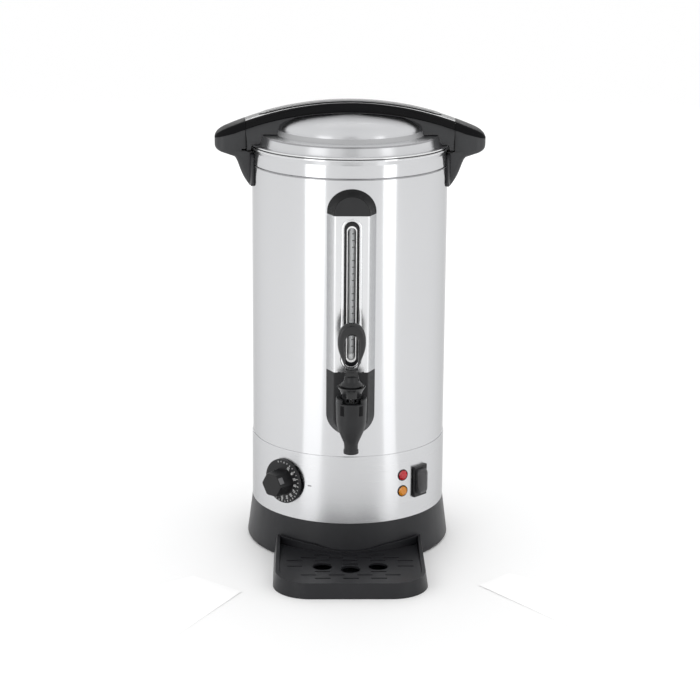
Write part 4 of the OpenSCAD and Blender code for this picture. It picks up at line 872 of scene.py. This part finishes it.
def seam_lip(side):
    """A lip on the bow's end that fills the seam up to a shallow groove."""
    rings = []
    low, band, high = FOOT_Z + 0.2, band_low(SEAM_R), bow_height(SEAM_R) - 2.5
    for i in range(11):
        z = low + (high - low) * i / 10
        half = web_half(z, band + 1.5) if z < band else band_half(SEAM_R) - 1.5
        reach = degrees(asin((half - 0.9) / SEAM_R))
        turns = [reach * (1 - j / 6) for j in range(13)]
        spots = [polar(SEAM_R + 0.33, a) for a in turns] + [polar(SEAM_R - 0.6, -a) for a in turns]
        rings.append([(side * x, y, z) for x, y in spots])
    return loft(rings)


def foot_lug(side):
    """The dark lug under the bow's foot that turns into the slot."""
    turns = range(-12, 13, 4)
    spots = [polar(SEAM_R - 1.2, a) for a in turns] + [polar(SEAM_R - 4.2, -a) for a in turns]
    return plate([(side * x, y) for x, y in spots], RIM_Z - 6.6, RIM_Z - 2.6)


for side_name, side in SIDES:
    add_piece("foot_lug_" + side_name, foot_lug(side), "gloss_plastic", "lid_handle")
    add_piece("seam_lip_" + side_name, seam_lip(side), "gloss_plastic", "lid_handle")
    nose, leg = (carved(form(side), bayonet_slot(side)) for form in (handle_nose, handle_leg))
    for part, skin, finish, sharp in (("cap", handle_cap(side), "grained_plastic", 38),
                                      ("nose", nose, "handle_plastic", 50),
                                      ("leg", leg, "handle_plastic", 50),
                                      ("plate", handle_plate(side), "base_plastic", 38)):
        add_piece("handle_%s_%s" % (part, side_name), skin, finish, "side_handle_" + side_name, sharp=sharp)

# ---- level gauge column ------------------------------------------------------------------

COL_LOW, COL_HIGH, COL_FRONT = 223.0, 393.0, 120.0
COL_HALF, COL_BACK_HALF, COL_BACK = 18.2, 26.6, 103.5
PANEL_HALF = 14.0
BEZEL_HALF, BEZEL_LOW, BEZEL_HIGH = 7.85, 229.9, 387.3
GLASS_R, GLASS_Y = 4.0, 112.7


def upright_ring(half, y):
    """A stadium round the window, of a half width, at the depth y.  Its corners suit the panel's."""
    reach = half - BEZEL_HALF if half > BEZEL_HALF else 1.9 * (half - BEZEL_HALF)
    low, high = BEZEL_LOW - reach + half, BEZEL_HIGH + reach - half
    corner = degrees(atan2(COL_HIGH - BEZEL_HIGH + BEZEL_HALF, PANEL_HALF))
    angles = ([corner * i / 5 for i in range(5)] + [corner + (180 - 2 * corner) * i / 10 for i in range(10)]
              + [180 - corner + corner * i / 5 for i in range(6)])
    top = [(half * cos(radians(a)), y, high + half * sin(radians(a))) for a in angles]
    return top + [(-x, y, low - (z - high)) for x, y, z in top]


def panel_ring(y):
    """The front panel's own outline, with a point for each point of an upright ring."""
    out = []
    for x, _, z in upright_ring(BEZEL_HALF, y):
        middle = min(max(z, BEZEL_LOW + BEZEL_HALF), BEZEL_HIGH - BEZEL_HALF)
        rise = (COL_HIGH if z > 300 else COL_LOW) - middle
        share = min(PANEL_HALF / max(abs(x), 1e-6), abs(rise) / max(abs(z - middle), 1e-6))
        out.append((x * share, y, middle + (z - middle) * share))
    return out


def column_panel():
    """The flat front with the rolled border round its window."""
    border = [(11.5, 0), (11.35, 0.3), (10.9, 0.35), (10.7, 0), (10.3, -0.3), (9.7, -0.52), (9.1, -0.6),
              (8.5, -0.52), (8.1, -0.3), (7.9, 0.0), (7.86, SHEET)]
    rings = [panel_ring(-COL_FRONT)] + [upright_ring(half, dy - COL_FRONT) for half, dy in border]
    return loft(rings + [panel_ring(SHEET - COL_FRONT)], closed=True)


def column_side(side):
    corners = [(COL_BACK_HALF, -COL_BACK), (COL_HALF, -COL_FRONT), (PANEL_HALF, -COL_FRONT)]
    line = round_corners(corners, [1.7], 6)
    line[0] = (26.1, -104.5)
    return plate([(side * x, y) for x, y in sheet_section(line, SHEET)], COL_LOW, COL_HIGH)


add_piece("column_panel", column_panel(), "column_steel", "column_cover", sharp=50)
for side_name, side in SIDES:
    add_piece("column_side_" + side_name, column_side(side), "column_steel", "column_cover", sharp=50)

HALF_TURN = [180 * i / 40 for i in range(41)]


def half_round(reach, y, middle, up):
    """Half a circle that faces the front, with its round side up or down."""
    return [(x, y, middle + up * z) for x, z in (polar(reach, a) for a in HALF_TURN)]


def column_end(middle, edge, up):
    """A round end of the column: a flat front with a sloping rim, straight down to its edge."""
    corners = [(COL_BACK_HALF, -COL_BACK), (COL_HALF, -COL_FRONT), (0, -COL_FRONT)]
    front = round_corners(corners, [1.9], 6)[1:-1]
    slope = (COL_BACK_HALF - COL_HALF) / (COL_FRONT - COL_BACK)
    wall = TANK_R + WALL_GAP
    back = []
    for a in HALF_TURN:
        reach = COL_BACK_HALF
        for _ in range(6):
            # settle on where the sloping rim meets the round wall
            y = -sqrt(wall ** 2 - (reach * cos(radians(a))) ** 2)
            reach = COL_HALF + (COL_FRONT + y) * slope
        x, z = polar(reach, a)
        back.append((x, y, middle + up * z))
    rings = [back + [(back[-1][0], back[-1][1], edge), (0, -wall, edge), (back[0][0], back[0][1], edge)]]
    for reach, y in front + [(COL_HALF - 3.2, -COL_FRONT)]:
        rings.append(half_round(reach, y, middle, up) + [(-reach, y, edge), (0, y, edge), (reach, y, edge)])
    return loft(rings)


def column_face(middle, edge, up):
    """The flat front of a column end, a little proud of its sloping rim."""
    rings = []
    for reach, dy in ((18.2, 0.6), (18.2, 0.0), (18.0, -0.2), (17.6, -0.3)):
        y = dy - COL_FRONT
        rings.append(half_round(reach, y, middle, up) + [(-reach, y, edge), (reach, y, edge)])
    return loft(rings)


for part, node, rim, *place in (("cap", "column_top_cap", "rim_plastic", 395, COL_HIGH + 0.1, 1),
                                ("block", "column_bottom_block", "column_plastic", 173, COL_LOW - 0.1, -1)):
    add_piece("column_%s_form" % part, column_end(*place), rim, node, sharp=50)
    add_piece("column_%s_face" % part, column_face(*place), "column_plastic", node, sharp=50)


def window_frame(line):
    """A frame round the window, from a closed line in half width and depth."""
    return loft([upright_ring(half, dy - COL_FRONT) for half, dy in line], closed=True)


# The black surround of the window, round on both its edges, and the bright lining inside it
BEZEL_LINE = [(7.8, 0.3), (7.82, -0.25), (7.72, -0.7), (7.4, -0.95), (6.8, -1.0), (6.1, -0.97), (5.6, -0.85),
              (5.4, -0.55), (5.4, 1.4), (6.8, 1.4), (7.6, 0.6)]
TRIM_LINE = [(5.4, -0.62), (5.1, -0.8), (4.75, -0.8), (4.45, -0.6), (4.4, 0.2), (4.4, 1.3), (5.4, 1.3)]


def gauge_backing():
    """A pale strip behind the glass, bent to the tank."""
    across = range(-9, 10, 3)
    outline = [(x, -sqrt((TANK_R + 0.7) ** 2 - x * x)) for x in across]
    outline += [(x, -sqrt((TANK_R + WALL_GAP) ** 2 - x * x)) for x in across[::-1]]
    return plate(outline, 228.0, 389.0)


def wrapped_bar(skin, r, angles, low, high, y=0.0):
    """A printed bar on a round wall, over three angles."""
    spots = [polar(r, a) for a in angles]
    verts = [skin.verts.new((across, y - out, z)) for z in (low, high) for out, across in spots]
    for k in (0, 1):
        skin.faces.new((verts[k], verts[k + 1], verts[k + 4], verts[k + 3]))


def gauge_ticks():
    """Graduation marks on the right half of the glass, each fifth one longer."""
    skin = bmesh.new()
    for i in range(19):
        z = 244.0 + i * 7.2
        span = 58 if i % 5 == 0 else 36
        wrapped_bar(skin, GLASS_R + 0.06, (4, 4 + span / 2, 4 + span), z - 0.45, z + 0.45, -GLASS_Y)
    return skin


add_piece("gauge_bezel", window_frame(BEZEL_LINE), "gauge_plastic", "gauge_frame", sharp=60)
add_piece("gauge_trim", window_frame(TRIM_LINE), "trim_plastic", "gauge_frame", sharp=60)
add_piece("gauge_backing", gauge_backing(), "scale_grey", "gauge_frame", extra=True)
add_piece("gauge_ticks", gauge_ticks(), "knob_plastic", "gauge_frame", extra=True)

# ---- tap ---------------------------------------------------------------------------------

TAP_Y, INLET_Z, SPOUT_Z, SEAT_Z, BARREL_Z, BARREL_R = -150.0, 185.0, 142.5, 176.0, 200.0, 16.4
PIVOT_Z, BONNET_Z = 219.0, 210.7
SPRING_LOW, SPRING_HIGH = SEAT_Z + 9, BONNET_Z - 2
AT_TAP = moved(0, TAP_Y, 0)


def tap_barrel():
    """The turned body: a spout with its end ring, a shoulder and the barrel, hollow below."""
    outside = round_corners([(7.0, SPOUT_Z), (8.1, SPOUT_Z), (8.1, SPOUT_Z + 3.8), (7.3, SPOUT_Z + 4.8),
                             (7.5, SPOUT_Z + 11), (14.6, SEAT_Z - 6), (15.8, SEAT_Z + 1),
                             (BARREL_R, BARREL_Z - 1.5), (BARREL_R, BARREL_Z), (0, BARREL_Z)],
                            [0.6, 0.6, 1.4, 4, 4, 5, 3, 1.2])
    inside = [(0, SEAT_Z), (5.5, SEAT_Z), (5.5, SPOUT_Z + 1), (6.2, SPOUT_Z)]
    return lathe(outside + inside)


def tap_ear(side):
    """A raised cheek on the barrel's top, on one side of the bonnet."""
    inner, bonnet_r, half, rise = 9.4, 11.6, 11.0, 4.4
    ys = [half * (1 - i / 6) for i in range(13)]
    outer = [(sqrt((BARREL_R - 0.1) ** 2 - y * y), y) for y in ys]
    near = [(max(inner, sqrt(bonnet_r ** 2 - y * y)), -y) for y in ys]
    return soften(plate([(side * x, y) for x, y in outer + near], BARREL_Z - 2, BARREL_Z + rise), 0.9, 45)


def tap_shank():
    """The collar between the barrel and the column, with a round flange against it."""
    reach = -TAP_Y - COL_FRONT
    line = round_corners([(0, reach - 10.6), (12.0, reach - 10.6), (12.0, 2.4), (13.6, 2.2), (13.6, 0.1),
                          (0, 0.1)], [0.4, 1.4, 0.7, 0.2])
    return lathe(line, 96)


def tap_recess_shade(side):
    """A dark glossy patch on the barrel's side, below its ear: painted shade where the barrel has a recess.
    """
    turns = range(30, 47, 4)
    spots = [polar(BARREL_R + 0.12, a) for a in turns] + [polar(BARREL_R - 0.6, a) for a in turns[::-1]]
    return plate([(side * y, -x) for x, y in spots], 187.5, 198.2)


def resampled(points, count):
    """Evenly spaced points along a closed outline."""
    ends = points[1:] + points[:1]
    lengths = [hypot(b[0] - a[0], b[1] - a[1]) for a, b in zip(points, ends)]
    total = sum(lengths)
    out, walked, k = [], 0.0, 0
    for i in range(count):
        goal = total * i / count
        while walked + lengths[k] < goal:
            walked += lengths[k]
            k += 1
        share = (goal - walked) / lengths[k] if lengths[k] else 0
        out.append(tuple(a + (b - a) * share for a, b in zip(points[k], ends[k])))
    return out


def lever_outline():
    """The drop shape of the lever's loop, from the middle of its foot and round."""
    curves = (((8.6, 3), (7.2, 6), (6.3, 9), (6.5, 14), 8),
              ((6.5, 14), (7.2, 24), (15.1, 32), (15.1, 46), 14),
              ((15.1, 46), (15.1, 60), (9.5, 67), (0, 67), 14))
    right = [point for curve in curves for point in bezier(*curve)[:-1]]
    outline = [(0, 3)] + right + [(0, 67)] + [(-x, z) for x, z in right[::-1]]
    return [(x, PIVOT_Z + z) for x, z in outline]


def lever_loop():
    """The loop, with a round section all the way between its outline and its hole."""
    thick, hole_half, hole_low, hole_high = 4.5, 6.75, PIVOT_Z + 16, PIVOT_Z + 53
    outer = resampled(lever_outline(), 144)
    hole = (arc(0, hole_high - hole_half, hole_half, 0, 180, 24)
            + arc(0, hole_low + hole_half, hole_half, 180, 360, 24))
    start = min(range(len(hole)), key=lambda i: hole[i][1] + abs(hole[i][0]) * 0.01)
    inner = resampled(hole[start:] + hole[:start], 144)
    shares = [0, 0.04, 0.12, 0.24, 0.4, 0.6, 0.76, 0.88, 0.96, 1.0]
    rings = []
    for (ox, oz), (ix, iz) in zip(outer, inner):
        front = [(ox + (ix - ox) * s, -thick * (1 - abs(2 * s - 1) ** 3.2) ** 0.5, oz + (iz - oz) * s)
                 for s in shares]
        rings.append(front + [(x, -y, z) for x, y, z in front[-2:0:-1]])
    return loft(rings, closed=True)


def lever_collar():
    """The round foot of the lever, which rocks in the cup."""
    line = round_corners([(0, -6), (8.5, -6), (11.6, -1.4), (11.4, 0.4), (8.6, 2.6), (7.2, 9), (0, 9)],
                         [1.5, 1.0, 0.8, 3.0, 1.2])
    return lathe([(r, PIVOT_Z + z) for r, z in line], 96)


def bonnet_cup():
    """The flared cup on the bonnet, open above."""
    line = [(10.3, 205.1), (10.6, 207.5), (11.4, 210.2), (13.0, 213.6), (14.6, 215.9), (14.8, 216.5),
            (14.5, 216.9), (13.7, 216.7), (12.3, 214.4), (10.7, 211.0), (9.8, 207.6), (9.6, 205.1)]
    return lathe(line, 96)


def valve_spring():
    """A coil of six turns, a little wider apart than its wire."""
    turns, steps, coil_r, wire_r = 6, 20, 5.2, 0.6
    climb = SPRING_HIGH - SPRING_LOW - 1.3
    rings = []
    for i in range(turns * steps + 1):
        a, z = 2 * pi * i / steps, SPRING_LOW + 0.65 + climb * i / (turns * steps)
        wire = arc(coil_r, z, wire_r, 0, 315, 7)
        rings.append([(r * cos(a), r * sin(a), height) for r, height in wire])
    return loft(rings)


add_piece("tap_barrel", tap_barrel(), "tap_plastic", "tap_body", AT_TAP, 50)
for side_name, side in SIDES:
    add_piece("tap_ear_" + side_name, tap_ear(side), "tap_plastic", "tap_body", AT_TAP)
    # dark patches on the barrel's sides: painted shade of its recesses
    add_piece("tap_recess_shade_" + side_name, tap_recess_shade(side), "gloss_plastic", "tap_body", AT_TAP)
add_piece("tap_shank_form", tap_shank(), "tap_plastic", "tap_body",
          moved(0, -COL_FRONT, INLET_Z) @ UPRIGHT, 50)
add_piece("tap_thread", lathe([(5.2, 0), (8, 0), (8, 24), (5.2, 24)], 48), "tap_plastic", "tap_body",
          moved(0, -94.7, INLET_Z) @ UPRIGHT)
dressed("tap_bonnet", "tap_plastic", 0.35, 45)
add_piece("bonnet_cup", bonnet_cup(), "lever_plastic", "tap_bonnet", AT_TAP, 50)
add_piece("spring_coil", valve_spring(), "fixing_steel", "tap_spring", AT_TAP,
          give=("tap_stem", "root", (0, TAP_Y * MM, SPRING_LOW * MM), (0, TAP_Y * MM, SPRING_HIGH * MM)))
add_piece("lever_loop", lever_loop(), "lever_plastic", "tap_lever", AT_TAP, 60)
add_piece("lever_collar", lever_collar(), "tap_plastic", "tap_lever", AT_TAP, 50)

# ---- controls on the band ----------------------------------------------------------------

BAND_R = 108.3
KNOB_AT, KNOB_Z, DIAL_R, DIAL_BACK, DIAL_FRONT, GRIP_FRONT = -41.0, 88.0, 25.0, 109.1, 112.3, 130.8
KNOB_PLACE = around(KNOB_AT, KNOB_Z)


def dial_disc():
    line = round_corners([(3.1, DIAL_BACK), (DIAL_R, DIAL_BACK), (DIAL_R, DIAL_FRONT - 0.4),
                          (DIAL_R - 1.2, DIAL_FRONT), (3.1, DIAL_FRONT)], [0.4, 0.5, 0.5])
    return lathe(line)


def dial_grip():
    """A six-sided grip with round corners, a little narrower at its front."""
    rings = []
    for z, size in ((DIAL_FRONT - 0.2, 15.2), (DIAL_FRONT + 1, 15.1), (GRIP_FRONT - 2.0, 14.4),
                    (GRIP_FRONT - 0.9, 14.1), (GRIP_FRONT - 0.3, 13.7), (GRIP_FRONT, 13.0)):
        corners = [polar(size, a) for a in range(0, 360, 60)]
        ring = []
        for before, corner, after in zip(corners[-1:] + corners, corners, corners[1:] + corners[:1]):
            ring += round_corners([before, corner, after], [1.8], 4)[1:-1]
        rings.append([(x, y, z) for x, y in ring])
    return loft(rings)


# A drawing's X and Y on the dial's face, its Z outwards
FACING = KNOB_PLACE @ UPRIGHT
PRINT_Z = DIAL_FRONT + 0.06
FIRST_TURN, NUMBER_STEP, NUMBER_R, NUMBER_SIZE = 62, 22.0, 18.2, 4.2


def dial_marks():
    """Tick marks between the numbers and the dial's edge."""
    skin = bmesh.new()
    for i in range(-4, 17):
        a = radians(FIRST_TURN - i * NUMBER_STEP / 2)
        inner, outer, half = (22.0 if i % 2 else 21.3), 23.4, 0.28
        along = Vector((cos(a), sin(a), 0))
        across = Vector((-sin(a), cos(a), 0)) * half
        lift = Vector((0, 0, PRINT_Z))
        skin.faces.new([skin.verts.new(along * r + across * s + lift)
                        for r, s in ((inner, -1), (outer, -1), (outer, 1), (inner, 1))])
    return skin


def number_form(text):
    """A plain number as a flat mesh."""
    curve = bpy.data.curves.new("number", "FONT")
    curve.body = text
    curve.size = NUMBER_SIZE
    curve.align_x = "CENTER"
    curve.align_y = "CENTER"
    curve.resolution_u = 3
    letters = put("number_text", curve)
    bpy.context.view_layer.update()
    skin = bmesh.new()
    skin.from_mesh(letters.evaluated_get(bpy.context.evaluated_depsgraph_get()).to_mesh())
    bpy.data.objects.remove(letters)
    bpy.data.curves.remove(curve)
    return skin


def pointer():
    """The pale tongue let into the grip's edge."""
    outline = [(12.9, -3.6), (12.9, 3.6), (9.0, 3.6), (9.0, -3.6)]
    return soften(plate(outline, GRIP_FRONT - 7.5, GRIP_FRONT - 1.2), 0.3)


def index_mark():
    """A short printed bar beside the dial."""
    skin = bmesh.new()
    wrapped_bar(skin, BAND_R + 0.05, (-1.2, 0, 1.2), -0.7, 0.7)
    return skin


add_piece("dial_disc", dial_disc(), "knob_plastic", "thermostat_knob", FACING)
add_piece("dial_grip", dial_grip(), "knob_plastic", "thermostat_knob", FACING, 50)
add_piece("dial_marks", dial_marks(), "print_white", "thermostat_knob", FACING, extra=True)
for i, number in enumerate(("30", "40", "50", "60", "70", "80", "90", "100")):
    spot = FACING @ turned(FIRST_TURN - i * NUMBER_STEP) @ moved(NUMBER_R, 0, PRINT_Z)
    add_piece("number_" + number, number_form(number), "print_white", "thermostat_knob", spot, extra=True)
add_piece("grip_pointer", pointer(), "print_grey", "thermostat_knob", FACING @ turned(30), extra=True)
add_piece("index_mark", index_mark(), "mark_grey", "control_band", around(-23.9, 87.6), extra=True)

LAMP_AT, LENS_R = 32.7, 5.7


def lamp_ring():
    line = round_corners([(-0.1, -2), (0.8, -2), (0.8, 0.4), (0.5, 0.9), (0.1, 0.8), (-0.1, 0.4)],
                         [0.1, 0.5, 0.5, 0.3])
    return lathe([(LENS_R + dr, BAND_R + dz) for dr, dz in line], 72)


def lamp_lens():
    """A cut lens: rings of flat facets that step up to a small crown."""
    rings = []
    for k, (r, dz) in enumerate(((LENS_R, -1), (LENS_R, 0.9), (4.9, 2.0), (3.4, 3.0), (1.5, 3.4))):
        rings.append([(*polar(r, 40 * i + 20 * (k % 2)), BAND_R + dz) for i in range(9)])
    return loft(rings)


for lamp, z, lens in (("heating", 97.4, "red_lens"), ("keep_warm", 79.0, "amber_lens")):
    spot = around(LAMP_AT, z) @ UPRIGHT
    add_piece(lamp + "_lamp_ring", lamp_ring(), "knob_plastic", "lamp_holders", spot)
    add_piece(lamp + "_lens_form", lamp_lens(), lens, lamp + "_lamp_lens", spot, 8)

SWITCH_AT, SWITCH_Z = 45.2, 86.7
# The switch looks slimmer than the standard size that the solids have
SLIM_W, SLIM_L = 0.76, 0.92
SWITCH_PLACE = around(SWITCH_AT, SWITCH_Z * MM)


def slim(slack=0.0):
    """The squeeze about the switch's centre, with a little more for what moves inside it."""
    return SWITCH_PLACE @ Matrix.Diagonal((SLIM_W - slack, 1, SLIM_L - slack, 1)) @ SWITCH_PLACE.inverted()


def boot_shell():
    """The crowned clear cover of the switch, of one thickness."""
    half_w, half_l, rise, wall, front = 9.6 * SLIM_W, 15.5 * SLIM_L, 6.0, 0.7, BAND_R + 3.2

    def dome(shrink):
        rows = []
        for j in range(9):
            t = j / 8
            w = (half_w - shrink) * (1 - t * t * 0.55)
            l = (half_l - shrink) * (1 - t * t * 0.45)
            z = front + (rise - shrink) * sin(pi / 2 * t) ** 0.8
            corner = min(w, l) * 0.5
            ring = []
            for quarter, (x, y) in enumerate(((1, 1), (-1, 1), (-1, -1), (1, -1))):
                ring += arc(x * (w - corner), y * (l - corner), corner, 90 * quarter, 90 * quarter + 90, 5)
            rows.append([(x, y, z) for x, y in ring])
        return rows

    skin = bmesh.new()
    outer, inner = (skin_rows(skin, dome(shrink)) for shrink in (0, wall))
    skin.faces.new(outer[-1])
    skin.faces.new(inner[-1])
    for i in range(len(outer[0])):
        skin.faces.new((outer[0][i - 1], outer[0][i], inner[0][i], inner[0][i - 1]))
    return finished(skin)


dressed("switch_housing", "rocker_plastic", 0.7, 45, 3, slim())
dressed("switch_rocker", "rocker_plastic", 0.4, 40, 2, slim(0.04))
add_piece("boot_form", boot_shell(), "boot_silicone", "switch_boot",
          around(SWITCH_AT, SWITCH_Z) @ UPRIGHT, 60)

# ---- base, tray and grille ---------------------------------------------------------------

dressed("base_skirt", "base_plastic", 0.5, 40)
dressed("drip_tray", "tray_plastic", 0.7, 40)
dressed("drip_grille", "tray_plastic", 0.35, 45)
